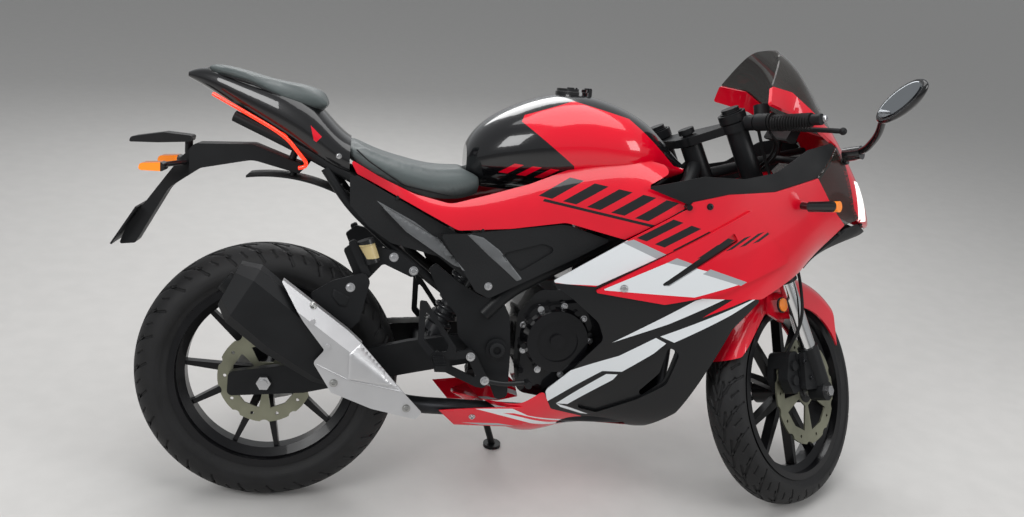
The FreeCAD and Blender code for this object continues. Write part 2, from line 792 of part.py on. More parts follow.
def heat_shield():
    """Silver guard bowed over the outer face of the silencer, with its bolts."""
    corners = [(36, 586, 3), (106, 545, 20), (222, 441, 40), (303, 354, 20), (364, 290, 4),
               (350, 274, 6), (250, 297, 40), (158, 334, 6), (116, 402, 10), (140, 431, 6),
               (92, 494, 14)]
    outer = Part.makeLoft([faceted(-230, -56, 100, 56, 30), faceted(340, -72, 90, 62, 30)],
                          True, True)
    inner = Part.makeLoft([faceted(-232, -52, 96, 52, 28), faceted(342, -68, 86, 58, 28)],
                          True, True)
    shell = outer.cut(inner).common(prism(corners, -300, -192))
    bolts = [along_y(x, z, -252, -195, 6) for x, z in ((146, 440), (112, 494))]
    return fuse([largest(shell)] + bolts)


def muffler_hanger():
    """Plate that carries the silencer from the passenger peg bracket."""
    plate = prism([(100, 540, 8), (150, 572, 10), (222, 594, 12), (234, 572, 12), (214, 480, 12),
                   (176, 440, 12), (130, 470, 10)], -160, -152)
    post = along_y(216, 577, -152, -134, 9)
    return plate.fuse(post)


# Bodywork

def part_ring(x, low, high, half, square, pinch=0.0, start=90, end=-90, points=11):
    """Points along a section between two angles; 90 is its top, 0 its right side."""
    middle = (low + high) / 2
    rise = (high - low) / 2
    spots = []
    for step in range(points):
        angle = math.radians(start + (end - start) * step / (points - 1))
        across = math.copysign(abs(math.cos(angle)) ** (2 / square), math.cos(angle))
        along = math.copysign(abs(math.sin(angle)) ** (2 / square), math.sin(angle))
        if abs(abs(math.sin(angle)) - 1) < 1e-9:
            across = 0.0
        narrow = 1 - pinch * max(0.0, -along) ** 1.5
        spots.append(Vector(x, -half * across * narrow, middle + rise * along))
    return spots


def skin(stations, start=90, end=-90, points=11):
    """Smooth face through parts of rings."""
    surface = Part.BSplineSurface()
    surface.interpolate([part_ring(*station, start=start, end=end, points=points)
                         for station in stations])
    return surface.toShape()


BODY_STATIONS = [
    (395, 206, 900, 160, 3.2, 0.3), (560, 206, 960, 184, 3.2, 0.3),
    (730, 206, 1010, 200, 3.2, 0.3), (900, 206, 1060, 206, 3.2, 0.3),
    (1050, 240, 1130, 202, 3.2, 0.1), (1170, 400, 1180, 182, 3.2, 0),
    (1257, 545, 1110, 164, 3, 0), (1330, 645, 1018, 140, 2.5, 0),
    (1400, 690, 926, 106, 2.4, 0), (1460, 714, 835, 66, 2.2, 0),
    (1495, 734, 772, 22, 2, 0), (1505, 750, 754, 3, 2, 0)]
COVER_STATIONS = [
    (160, 760, 876, 116, 3, 0), (300, 690, 826, 136, 3, 0), (400, 630, 796, 148, 3, 0),
    (491, 600, 816, 154, 3, 0), (620, 580, 866, 162, 3, 0), (700, 570, 894, 170, 3, 0),
    (819, 560, 918, 188, 2.8, 0), (900, 560, 905, 196, 2.6, 0), (970, 560, 905, 202, 2.6, 0)]
body_skin = skin(BODY_STATIONS)
crown_skin = skin(BODY_STATIONS[4:], -88, 268, 25)
keel_skin = skin(BODY_STATIONS, 60, -240, 25)
cover_skin = skin(COVER_STATIONS)
wall = size("panel_thickness")
INWARD = Vector(0, 1, 0)
NOSE_INWARD = unit(Vector(-1, 1, 0.1))
BACK_INWARD = unit(Vector(-1, 0, -0.55))

SIDE_COVER = [(174, 848, 4), (242, 812, 60), (327, 777, 80), (411, 759, 60), (491, 783, 30),
              (591, 816, 20), (695, 861, 8), (819, 899, 10), (941, 873, 12), (857, 829, 6),
              (966, 800, 4), (952, 784, 4), (816, 704, 4), (678, 734, 40), (554, 712, 60),
              (430, 700, 30), (299, 764, 60), (193, 814, 8)]
UPPER_FAIRING = [(646, 597, 4), (816, 704, 3), (952, 784, 3), (966, 802, 4), (1052, 824, 30),
                 (1171, 835, 30), (1285, 872, 4), (1330, 815, 20), (1359, 785, 6), (1393, 757, 3),
                 (1284, 640, 14), (1172, 574, 20), (1000, 575, 20), (750, 592, 3)]
WING = [(746, 580, 4), (956, 700, 30), (1110, 790, 4), (1230, 668, 6), (1058, 588, 30),
        (920, 558, 10)]
WING_SLOT = [(902, 603, 4), (926, 604, 4), (1084, 716, 4), (1072, 736, 4)]
LOWER_FAIRING = [(646, 597, 3), (750, 592, 3), (1000, 575, 20), (1172, 574, 6), (1101, 500, 40),
                 (1054, 395, 40), (1000, 268, 20), (940, 214, 12), (922, 209, 3), (798, 233, 40),
                 (683, 274, 10), (658, 324, 20), (721, 382, 40), (788, 462, 20), (770, 505, 40),
                 (700, 562, 40)]
RECESS = [(938, 462, 12), (982, 440, 16), (962, 350, 30), (893, 300, 30), (800, 252, 12),
          (736, 270, 12), (790, 330, 60), (900, 420, 40)]
RECESS_SLOT = [(948, 448, 8), (968, 440, 8), (952, 360, 20), (905, 312, 14), (896, 326, 10),
               (938, 380, 30)]
BELLY = [(408, 268, 4), (608, 281, 60), (658, 322, 10), (683, 274, 8), (798, 233, 30),
         (922, 207, 4), (950, 190, 3), (455, 190, 4)]
NOSE = [(1132, 1040, 6), (1138, 1080, 4), (1200, 1070, 20), (1300, 1000, 30), (1372, 968, 10),
        (1425, 905, 30), (1480, 835, 20), (1515, 760, 8), (1500, 742, 4), (1440, 772, 10),
        (1415, 800, 20), (1378, 900, 20), (1345, 950, 4), (1218, 1018, 30)]
LENS = [(1285, 872, 3), (1345, 950, 3), (1378, 900, 20), (1415, 800, 20), (1440, 772, 6),
        (1393, 757, 3), (1359, 785, 6), (1330, 815, 20)]
CHIN = [(1402, 741, 3), (1442, 755, 10), (1500, 727, 3), (1500, 690, 3), (1380, 650, 3),
        (1296, 640, 3)]
SCREEN = [(1138, 1080, 4), (1222, 1245, 3), (1330, 1120, 3), (1420, 960, 3), (1425, 905, 3),
          (1372, 968, 6), (1300, 1000, 30), (1200, 1070, 20)]
TRIM = [(856, 829, 3), (991, 862, 20), (1090, 862, 30), (1170, 880, 30), (1250, 938, 30),
        (1330, 958, 4), (1352, 945, 4), (1292, 866, 6), (1171, 826, 30), (1052, 815, 30),
        (966, 792, 6)]
FAR = 260


def panel(skin, outline, thickness, start=0.0, inward=INWARD, windows=()):
    """Right-hand panel: the skin inside an outline, from a depth inwards by a thickness."""
    face = skin.translated(inward * start).common(prism(outline, -FAR, 1))
    for window in windows:
        face = face.cut(prism(window, -FAR, 1))
    return largest(face.extrude(inward * thickness))


def upper_fairings():
    """Upper side fairings from the engine bay to the headlamps."""
    return both_sides(panel(body_skin, UPPER_FAIRING, wall))


def lower_fairings():
    """Lower side fairings with a sunk panel and its air slot."""
    plate = panel(body_skin, LOWER_FAIRING, wall, windows=[RECESS])
    sunk = panel(body_skin, RECESS, wall, 2 * wall, windows=[RECESS_SLOT])
    shrunk = [(x + (880 - x) * 0.05, z + (360 - z) * 0.05, corner) for x, z, corner in RECESS]
    edge = panel(body_skin, RECESS, 3 * wall, windows=[shrunk])
    return both_sides(fuse([plate, edge, sunk]))


def wing_panels():
    """Raised side wings with a long slot."""
    lift = 2 * wall
    return both_sides(panel(body_skin, WING, lift, -lift - size("seat_gap"), windows=[WING_SLOT]))


def whole_panel(skin_face, outline, thickness, inward):
    """Panel that crosses the middle plane: the skin inside an outline, given a thickness."""
    face = skin_face.common(prism(outline, -FAR, FAR))
    return largest(face.extrude(inward * thickness))


def belly_pan():
    """Belly pan under the engine, open on the left where the side stand folds."""
    stand_bay = Part.makeBox(330, 300, 200, Vector(380, 55, 150))
    return largest(whole_panel(keel_skin, BELLY, wall, UP).cut(stand_bay))


def side_covers():
    """Side covers that run from the tail under seat and tank to the fairing."""
    return both_sides(panel(cover_skin, SIDE_COVER, wall))


def nose_cowl():
    """Nose with two arms that rise beside the windscreen."""
    return whole_panel(crown_skin, NOSE, wall * 2, BACK_INWARD)


def headlights():
    """Lenses of the two headlamps in the sides of the nose."""
    return both_sides(panel(body_skin, LENS, wall * 1.4, inward=NOSE_INWARD))


def nose_chin():
    """Dark chin below the headlamps."""
    return whole_panel(keel_skin, CHIN, wall * 1.5, unit(Vector(-1, 0, 1)))


def windscreen():
    """Curved screen between the arms of the nose."""
    return whole_panel(crown_skin, SCREEN, wall * 1.2, BACK_INWARD)


def cockpit_trim():
    """Inner trim along the top edge of the fairing."""
    return both_sides(panel(body_skin, TRIM, wall * 0.8, wall))


CAP_CENTRE = Vector(700, 0, size("cap_seat_z"))


def fuel_tank():
    """Fuel tank, pinched where the knees grip it."""
    stations = [(448, 800, 893, 52, 2.3, 0.3), (480, 792, 940, 88, 2.4, 0.3),
                (545, 788, 985, 126, 2.4, 0.3), (640, 788, 1021, 152, 2.5, 0.3),
                (750, 800, 1024, 162, 2.5, 0.25), (850, 812, 990, 146, 2.5, 0.2),
                (905, 826, 955, 104, 2.4, 0.1), (945, 836, 918, 64, 2.3, 0),
                (985, 850, 880, 44, 2.2, 0)]
    seat = rod(CAP_CENTRE - UP * 30, CAP_CENTRE, size("cap_radius") + 3)
    hinge = CAP_CENTRE + FORWARD * (size("cap_radius") + 4) + UP * size("cap_thickness")
    pin = along_y(hinge.x, hinge.z, -12, 12, 2.5)
    ears = [prism([(hinge.x - 4, CAP_CENTRE.z - 12, 1), (hinge.x - 4, hinge.z + 4, 3),
                   (hinge.x + 5, hinge.z + 4, 4), (hinge.x + 5, CAP_CENTRE.z - 12, 1)], low, low + 4)
            for low in (-12, 8)]
    return fuse([loft(stations), seat, pin] + ears)


def rider_seat():
    """Rider's seat, narrow at the tank and wide behind."""
    stations = [(147, 868, 893, 70, 2.6), (180, 842, 884, 104, 2.8), (235, 812, 862, 128, 3),
                (300, 785, 845, 138, 3), (365, 768, 834, 132, 3), (430, 765, 836, 106, 2.8),
                (480, 780, 838, 74, 2.5)]
    return loft(stations)


def pillion_seat():
    """Thin raised passenger seat."""
    stations = [(-156, 1025, 1036, 30, 2.4), (-120, 1012, 1034, 60, 2.6),
                (-30, 985, 1016, 84, 2.8), (60, 952, 1002, 94, 2.8), (100, 950, 990, 92, 2.8),
                (120, 955, 972, 84, 2.4)]
    return loft(stations)


def tail_cowl():
    """Tail between the seats and the rear lamp."""
    stations = [(-200, 1004, 1018, 16, 2.4), (-150, 978, 1030, 44, 2.6), (-60, 925, 1018, 76, 2.8),
                (30, 872, 1000, 98, 2.8), (100, 828, 960, 108, 2.8), (150, 804, 911, 112, 2.8),
                (175, 798, 893, 112, 2.8)]
    return loft(stations)


def undertray():
    """Inner mudguard between the rear tyre and the seat."""
    centre = rear_centre.z
    outer, inner = 372, 367
    arch = rod(Vector(0, -66, centre + 110), Vector(0, 66, centre + 110), outer).cut(
        rod(Vector(0, -70, centre + 110), Vector(0, 70, centre + 110), inner))
    window = prism([(-60, 700, 3), (345, 560, 3), (420, 700, 3), (300, 830, 3), (-60, 830, 3)], -66, 66)
    return largest(arch.common(window))


def rear_fender():
    """Arm behind the tail that carries lamp and indicators and drops to the plate bracket."""
    arm = prism([(75, 818, 6), (-48, 862, 30), (-178, 856, 14), (-214, 818, 30), (-330, 655, 20),
                 (-346, 612, 4), (-310, 616, 6), (-236, 750, 60), (-166, 800, 40), (-48, 826, 60),
                 (58, 800, 4)], -46, 46)
    waist = prism([(-190, 900, 3), (-190, 560, 3), (-400, 560, 3), (-400, 900, 3)], 30, 60)
    arm = arm.cut(waist).cut(mirrored(waist))
    centre = Vector(size("plate_x"), 0, size("plate_z"))
    tilt = Rotation(LEFT, -size("plate_tilt"))
    thickness = size("plate_bracket_thickness")
    plate = Part.makeBox(thickness, 124, 104, Vector(-thickness / 2, -62, -52))
    normal = FORWARD * 20
    for across in (-1, 1):
        spot = Vector(0, across * size("plate_hole_y"), size("plate_hole_z"))
        plate = plate.cut(rod(spot - normal, spot + normal, size("plate_hole_radius")))
    plate.Placement = Placement(centre, tilt)
    return arm.fuse(plate)


def plate_lamp():
    """Lamp housing that looks down on the plate bracket."""
    return prism([(-190, 858, 4), (-186, 872, 6), (-250, 876, 10), (-322, 862, 8), (-326, 850, 3),
                  (-262, 852, 10)], -34, 34)


def rear_indicators():
    """Rear indicators on short stalks."""
    stalk = rod(Vector(-196, -40, 812), Vector(-246, -92, 806), 6)
    pod = prism([(-228, 796, 6), (-232, 816, 8), (-282, 812, 9), (-286, 796, 8)], -132, -84)
    return both_sides(fuse([stalk, pod]))


def tail_light():
    """Lamp strips let into both sides of the tail."""
    strip = prism([(-140, 976, 3), (-60, 930, 10), (27, 893, 20), (88, 824, 3), (74, 818, 3),
                   (40, 862, 20), (-30, 905, 20), (-142, 964, 3)], -200, -20)
    return strip


def tank_cap():
    """Round filler cap, hinged at its front edge on the tank's pin."""
    base = CAP_CENTRE + UP * size("seat_gap")
    thickness = size("cap_thickness")
    lid = rod(base, base + UP * thickness, size("cap_radius"))
    key = rod(base + UP * thickness, base + UP * (thickness + 3), size("cap_radius") * 0.34)
    hinge = CAP_CENTRE + FORWARD * (size("cap_radius") + 4) + UP * thickness
    tab = prism([(hinge.x - 12, base.z, 1), (hinge.x - 12, hinge.z + 4, 1),
                 (hinge.x + 4.5, hinge.z + 4, 3), (hinge.x + 4.5, base.z + 2, 3)], -7, 7)
    hole = along_y(hinge.x, hinge.z, -20, 20, 2.5 + size("running_gap"))
    return fuse([lid, key, tab]).cut(hole)


# Steered pieces

fork_y = size("fork_spacing_half")


def fork_axis(y, ahead=fork_ahead):
    """Function from a height to a point on a fork leg."""
    return lambda height: on_fork(height, ahead, y)


def fork_outers():
    """Outer fork tubes with their caps."""
    leg = fork_axis(-fork_y)
    radius = size("fork_outer_radius")
    low = leg(size("fork_outer_low_z"))
    high = leg(size("fork_top_z"))
    tube = rod(low, high, radius)
    cap = rod(high, leg(size("fork_top_z") + 8), radius - 5)
    collar = rod(low, leg(size("fork_outer_low_z") + 18), radius + 1.5)
    return both_sides(fuse([tube, cap, collar]).cut(
        rod(leg(size("fork_outer_low_z") - 20), leg(700), size("fork_inner_radius"))))


def fork_inners():
    """Inner fork tubes that slide in the outer ones."""
    leg = fork_axis(-fork_y)
    return both_sides(rod(leg(352), leg(700), size("fork_inner_radius")))


def fork_bottoms():
    """Castings that hold the axle at the foot of each leg, with the caliper lugs."""
    leg = fork_axis(-fork_y)
    radius = size("fork_inner_radius") + 5.5
    sleeve = rod(leg(300), leg(392), radius)
    clamp = along_y(front_centre.x, front_centre.z, -fork_y - 22, -fork_y + 20, 25)
    boot = sleeve.fuse(clamp)
    lug = prism([(1262, 395, 6), (1292, 395, 6), (1318, 300, 6), (1262, 300, 6)],
                -fork_y - 7, -fork_y + 7)
    right = fuse([boot, lug]).cut(rod(leg(352), leg(420), size("fork_inner_radius")))
    right = right.cut(along_y(front_centre.x, front_centre.z, -300, 0, size("axle_radius")))
    left = boot.cut(rod(leg(352), leg(420), size("fork_inner_radius")))
    left = mirrored(left.cut(along_y(front_centre.x, front_centre.z, -300, 0,
                                     size("axle_radius"))))
    return Part.makeCompound([right, left])


def front_axle():
    """Front axle with its head and nut and the spacers beside the hub."""
    x, z = front_centre.x, front_centre.z
    reach = fork_y + 22
    hub = size("front_hub_half") + 1
    spacer = along_y(x, z, -(fork_y - 20) + size("seat_gap"), -hub, 14)
    return fuse([along_y(x, z, -reach - 4, reach + 4, size("axle_radius")), spacer,
                 mirrored(spacer), hexagon(x, z, -reach - 10, -reach, 14),
                 hexagon(x, z, reach, reach + 10, 15)])


def triple_clamp(height, thickness):
    """Yoke at a height on the steering axis, clamped round both legs."""
    low = on_fork(height, 0)
    drop = steering_up * thickness
    legs = [on_fork(height, fork_ahead, side_y) for side_y in (-fork_y, fork_y)]
    hubs = [Part.makeCylinder(size("fork_outer_radius") + 7, thickness, leg, steering_up)
            for leg in legs]
    hubs.append(Part.makeCylinder(30, thickness, low, steering_up))
    spots = [on_fork(height, fork_ahead + 20, -fork_y), on_fork(height, fork_ahead + 20, fork_y),
             on_fork(height, fork_ahead - 24, fork_y), on_fork(height, -28, 20),
             on_fork(height, -28, -20), on_fork(height, fork_ahead - 24, -fork_y)]
    web = Part.Face(Part.makePolygon(spots + [spots[0]])).extrude(drop)
    yoke = fuse(hubs + [web])
    for side_y in (-fork_y, fork_y):
        leg = fork_axis(side_y)
        yoke = yoke.cut(rod(leg(300), leg(1100), size("fork_outer_radius")))
    return yoke


def triple_clamps():
    """Upper and lower yokes with the stem that turns in the head tube."""
    low = size("head_tube_low_z") - size("clamp_thickness") - 2
    high = size("head_tube_high_z") + 3
    stem = rod(on_fork(low + 2), on_fork(high + size("clamp_thickness") + 6), size("stem_radius"))
    nut = rod(on_fork(high + size("clamp_thickness") - 2),
              on_fork(high + size("clamp_thickness") + 10), 20)
    return fuse([triple_clamp(low, size("clamp_thickness")),
                 triple_clamp(high, size("clamp_thickness") * 0.8), stem, nut])


def bar_point(y, lift=0.0):
    """Point on the right handlebar, swept back and down towards its end."""
    share = (-y - fork_y) / (size("grip_outer_y") - fork_y)
    base = on_fork(size("bar_axis_z"), fork_ahead + 6)
    return Vector(base.x - 8 * share, y, base.z - 34 * share + lift)


def handlebars():
    """Clip-on bars with the clamps round the fork tops."""
    leg = fork_axis(-fork_y)
    clamp = rod(leg(950), leg(968), size("fork_outer_radius") + 7)
    bar = rod(bar_point(-fork_y - 30), bar_point(-size("grip_outer_y") - 4), size("bar_radius"))
    neck = rod(leg(959), bar_point(-fork_y - 44), 12)
    half = fuse([clamp, bar, neck]).cut(rod(leg(850), leg(1060), size("fork_outer_radius")))
    weight = rod(bar_point(-size("grip_outer_y") - 2), bar_point(-size("grip_outer_y") - 26), 13)
    return both_sides(fuse([half, weight]))


def grips():
    """Rubber grips with a flange at the inner end."""
    start, end = -size("grip_inner_y"), -size("grip_outer_y")
    grip = fuse([rod(bar_point(start), bar_point(end), size("grip_radius")),
                 rod(bar_point(start), bar_point(start - 5), size("grip_radius") + 5)])
    return both_sides(grip.cut(rod(bar_point(-100), bar_point(-400), size("bar_radius"))))


def bar_controls():
    """Switch housings, brake master cylinder and clutch perch with their levers."""
    housing = rod(bar_point(-176), bar_point(-212), 21)
    perch = rod(bar_point(-150), bar_point(-172), 19)
    reach = unit(Vector(0.95, 0, -0.2))
    pump = rod(bar_point(-160) + reach * 26 - LEFT * 4, bar_point(-226) + reach * 36, 12)
    neck = rod(bar_point(-161), bar_point(-161) + reach * 28, 13)
    lever = bent_tube([bar_point(-214) + reach * 42, bar_point(-250) + reach * 62,
                       bar_point(-310) + reach * 74, bar_point(-352) + reach * 88], 6)
    ball = Part.makeSphere(9, bar_point(-352) + reach * 88)
    half = fuse([housing, perch, pump, neck, lever, ball])
    half = half.cut(rod(bar_point(-100), bar_point(-400), size("bar_radius")))
    pot = rod(bar_point(-172, 14) + reach * 30, bar_point(-172, 52) + reach * 30, 19)
    right = fuse([half, pot])
    return Part.makeCompound([right, mirrored(half)])


def front_fender():
    """Front mudguard over the tyre, stayed to the fork legs."""
    gap = size("front_tyre_radius") + 9
    outer = ring_arch(gap + 4, 68)
    inner = ring_arch(gap, 63)
    arch = outer.cut(inner)
    cover = prism([(1008, 372, 10), (1075, 392, 20), (1190, 505, 60), (1300, 500, 60),
                   (1420, 470, 60), (1505, 350, 6), (1530, 380, 6), (1520, 600, 3),
                   (1300, 680, 3), (1080, 620, 3), (980, 470, 3)], -90, 90)
    shell = largest(arch.common(cover))
    leg = fork_axis(-fork_y)
    half = size("front_tyre_half") + 13
    tab = prism([(1180, 500, 10), (1262, 470, 10), (1290, 560, 10), (1200, 570, 10)], -half - 4, -half + 4)
    bosses = [along_y(leg(height).x, leg(height).z, -fork_y + 12, -half, 10) for height in (475, 525)]
    side_mount = fuse([tab] + bosses)
    legs = rod(leg(300), leg(700), size("fork_inner_radius"))
    shell = fuse([shell, side_mount, mirrored(side_mount)])
    return largest(shell.cut(legs).cut(mirrored(legs)))


def ring_arch(radius, half):
    """Solid of revolution about the front axle with a rounded crown."""
    depth = 46
    points = [Vector(radius - depth, -half, 0), Vector(radius - depth * 0.35, -half * 0.82, 0),
              Vector(radius - depth * 0.06, -half * 0.4, 0), Vector(radius, 0, 0)]
    points += [Vector(spot.x, -spot.y, 0) for spot in reversed(points[:-1])]
    curve = Part.BSplineCurve()
    curve.interpolate(points)
    ends = [points[-1], Vector(radius - depth - 40, half, 0), Vector(radius - depth - 40, -half, 0),
            points[0]]
    edges = [curve.toShape()] + [Part.LineSegment(a, b).toShape() for a, b in zip(ends, ends[1:])]
    face = Part.Face(Part.Wire(edges))
    return face.revolve(Vector(), LEFT, 360).translated(front_centre)


def front_caliper():
    """Caliper that straddles the front disc behind the right fork leg."""
    line = size("front_disc_offset")
    slot = size("disc_thickness") / 2 + 5
    outline = [(1205, 330, 12), (1222, 395, 18), (1262, 400, 12), (1268, 300, 12), (1232, 290, 14)]
    block = prism(outline, -line - 34, -line + 26)
    disc = along_y(front_centre.x, front_centre.z, -line - slot, -line + slot,
                   size("front_disc_radius") + 6)
    pistons = [along_y(1238, z, -line - 40, -line - 30, 13) for z in (325, 362)]
    tab = prism([(1250, 392, 4), (1262, 304, 4), (1276, 304, 4), (1276, 392, 4)],
                -fork_y + 7, -line - 12)
    return largest(fuse([block, tab] + pistons).cut(disc))


def brake_hose():
    """Hose from the master cylinder down the fork leg to the caliper."""
    start = bar_point(-160) + Vector(26, 0, -10)
    return bent_tube([start, on_fork(860, 68, -147), on_fork(700, 63, -143), on_fork(560, 61, -143),
                      on_fork(470, 14, -143), Vector(1232, -92, 396)], 4)


# Side stand

stand_pivot = Vector(size("stand_pivot_x"), size("stand_pivot_y"), size("stand_pivot_z"))


def stand_axis():
    """Axis of the stand's pivot, tipped so that the leg tucks in as it folds."""
    return unit(Vector(0, math.cos(math.radians(20)), math.sin(math.radians(20))))


def ground_point(x, y):
    """Point of the ground under a place on the upright bike."""
    base = stance.multVec(Vector(x, y, 0))
    return stance.inverse().multVec(Vector(base.x, base.y, 0))


def side_stand():
    """Stand leg with its foot flat on the ground, turning on the frame's lug."""
    axis = stand_axis()
    foot = ground_point(size("stand_foot_x"), size("stand_foot_y"))
    down = stance.inverse().Rotation.multVec(UP)
    sole = rod(foot, foot + down * 9, 24)
    half = size("stand_knuckle_half")
    knuckle = rod(stand_pivot - axis * half, stand_pivot + axis * half, 17)
    leg = rod(stand_pivot, foot + down * 6, size("stand_leg_radius"))
    stand = fuse([knuckle, leg, sole])
    return stand.cut(rod(stand_pivot - axis * 60, stand_pivot + axis * 60,
                         size("stand_pin_radius") + size("running_gap")))


def stand_lug():
    """Lug on the frame with the pin that carries the side stand."""
    axis = stand_axis()
    face = size("stand_knuckle_half") + size("seat_gap")
    pin = rod(stand_pivot - axis * 16, stand_pivot + axis * 16, size("stand_pin_radius"))
    head = rod(stand_pivot + axis * face, stand_pivot + axis * (face + 7), 11)
    seat = rod(stand_pivot - axis * (face + 14), stand_pivot - axis * face, 16)
    arm = prism([(500, 350, 10), (560, 340, 10), (556, 296, 10), (534, 276, 12), (505, 276, 12)],
                plate_inner - 4, plate_outer)
    room = rod(stand_pivot - axis * face, stand_pivot + axis * 40, 22)
    return fuse([pin, head, seat, arm.cut(room)])


# Foot controls and small parts

def peg_hangers():
    """Rider's peg brackets: an upper heel guard and a lower triangle, both open ribs."""
    low, high = -plate_outer - 40, -plate_outer - 28
    guard = prism([(350, 536, 5), (366, 534, 5), (440, 428, 6), (440, 404, 8), (390, 392, 8),
                   (350, 438, 10)], low, high)
    guard_room = prism([(364, 512, 3), (374, 502, 4), (422, 434, 4), (418, 418, 5), (396, 412, 5),
                        (364, 446, 5)], low - 5, high + 5)
    bracket = prism([(386, 396, 5), (400, 410, 6), (476, 424, 8), (488, 412, 6), (524, 346, 6),
                     (510, 332, 8), (492, 334, 6), (404, 374, 8)], low + 2, high + 1)
    bracket_room = prism([(424, 397, 4), (468, 403, 5), (494, 354, 4), (430, 382, 4)],
                         low - 5, high + 5)
    hub = along_y(398, 400, low - 3, high, 17)
    posts = [along_y(474, 411, high - 1, -plate_outer, 9), along_y(508, 350, high - 1, -plate_outer, 9)]
    plate = fuse([guard.cut(guard_room), bracket.cut(bracket_room), hub])
    return both_sides(fuse([plate] + posts))


def rider_pegs():
    """Rider's foot pegs, ribbed on top."""
    low = -plate_outer - 44
    bar = Part.makeBox(26, 86, 13, Vector(385, low - 86, 394))
    ribs = [Part.makeBox(26, 4, 3, Vector(385, low - 80 + 12 * k, 407)) for k in range(6)]
    return both_sides(fuse([bar] + ribs))


def passenger_pegs():
    """Passenger pegs folded up on their hangers."""
    strut = prism([(170, 640, 6), (196, 662, 8), (300, 640, 8), (352, 600, 8), (330, 582, 8),
                   (262, 612, 10), (226, 570, 8), (204, 566, 8)], -134, -122)
    peg = prism([(180, 660, 5), (196, 668, 5), (236, 588, 5), (220, 580, 5)], -152, -134)
    mount = along_y(318, 606, -124, -112, 9)
    return both_sides(fuse([strut, peg, mount]))


def foot_levers():
    """Rear brake pedal on the right and gear lever on the left."""
    low = -plate_outer - 30
    pedal = bent_tube([Vector(440, low + 12, 372), Vector(480, low + 6, 352),
                       Vector(560, low - 6, 342), Vector(612, low - 12, 350)], 6)
    toe = along_y(612, 350, low - 40, low - 6, 8)
    return both_sides(fuse([pedal, toe]))


def brake_reservoir():
    """Rear brake fluid pot with its cap."""
    base = Vector(238, -150, 616)
    line = unit(Vector(-20, 0, 54))
    return fuse([rod(base, base + line * 44, 18), rod(base + line * 44, base + line * 56, 20)])


def mirrors():
    """Mirrors on folding arms either side of the nose."""
    middle = Vector(1384, -308, 1068)
    long_way = unit(Vector(0.35, -0.7, 0.6))
    short_way = unit(Vector(-0.95, 0.0, 0.2).cross(long_way))
    face = unit(long_way.cross(short_way))
    arm = bent_tube([Vector(1372, -118, 934), Vector(1392, -162, 946), Vector(1390, -222, 986),
                     middle - long_way * 56 - face * 10], 9)
    foot = rod(Vector(1366, -112, 930), Vector(1392, -146, 940), 17)
    rings = []
    for back, scale in ((0, 0.94), (6, 1.0), (18, 0.86), (32, 0.45)):
        spots = [middle - face * back + long_way * (74 * scale * math.cos(math.pi * step / 6))
                 + short_way * (36 * scale * math.sin(math.pi * step / 6)) for step in range(12)]
        curve = Part.BSplineCurve()
        curve.interpolate(Points=spots, PeriodicFlag=True)
        rings.append(Part.Wire(curve.toShape()))
    return both_sides(fuse([foot, arm, Part.makeLoft(rings, True, False)]))


def front_indicators():
    """Front indicators on the fairing sides."""
    pod = fuse([rod(Vector(1244, -150, 805), Vector(1262, -196, 806), 9),
                rod(Vector(1256, -190, 806), Vector(1302, -250, 816), 13)])
    return both_sides(pod)


def dash():
    """Instrument panel with its hood."""
    return prism([(1226, 952, 6), (1258, 1016, 10), (1276, 1010, 8), (1252, 946, 6)], -72, 72)


def front_stay():
    """Tube frame that carries nose, dash and mirrors."""
    root = on_fork(850, 10)
    beam = rod(root, Vector(1236, 0, 905), 14)
    arm = bent_tube([Vector(1232, 0, 905), Vector(1250, -60, 905), Vector(1310, -100, 915),
                     Vector(1356, -104, 926)], 9)
    post = rod(Vector(1236, 0, 905), Vector(1244, 0, 962), 8)
    return fuse([beam, arm, mirrored(arm), post])


def side_pads():
    """Textured side pads under the side covers, with the grey blade beside them."""
    pad_plate = prism([(388, 690, 6), (444, 693, 10), (678, 729, 60), (790, 696, 4), (710, 650, 10),
                       (596, 590, 10), (510, 545, 14), (478, 560, 12)], -158, -146)
    dish = prism([(528, 651, 10), (629, 681, 20), (665, 669, 10), (580, 612, 10)], -170, -152)
    bridge = prism([(392, 690, 3), (440, 690, 3), (440, 640, 3), (404, 640, 3)], -147, -127)
    back = prism([(177, 806, 3), (193, 812, 6), (432, 690, 20), (486, 570, 6), (440, 596, 10),
                  (388, 634, 14), (277, 660, 30), (225, 695, 20), (180, 743, 3)], -128, -123.5)
    blade = prism([(238, 755, 3), (384, 676, 20), (450, 608, 4), (425, 616, 20), (310, 690, 60)],
                  -136, -124)
    return both_sides(fuse([pad_plate.cut(dish), back, blade, bridge]))


def belt_outline(near, near_radius, far, far_radius, y):
    """Closed wire round two circles in the side view."""
    gap = far - near
    along = math.atan2(gap.z, gap.x)
    turn = math.acos((near_radius - far_radius) / gap.Length)

    def spot(centre, radius, angle):
        return Vector(centre.x + radius * math.cos(angle), y, centre.z + radius * math.sin(angle))

    high, low = along + turn, along - turn
    back = along + math.pi
    return Part.Wire([
        Part.LineSegment(spot(near, near_radius, high), spot(far, far_radius, high)).toShape(),
        Part.Arc(spot(far, far_radius, high), spot(far, far_radius, along),
                 spot(far, far_radius, low)).toShape(),
        Part.LineSegment(spot(far, far_radius, low), spot(near, near_radius, low)).toShape(),
        Part.Arc(spot(near, near_radius, low), spot(near, near_radius, back),
                 spot(near, near_radius, high)).toShape()])


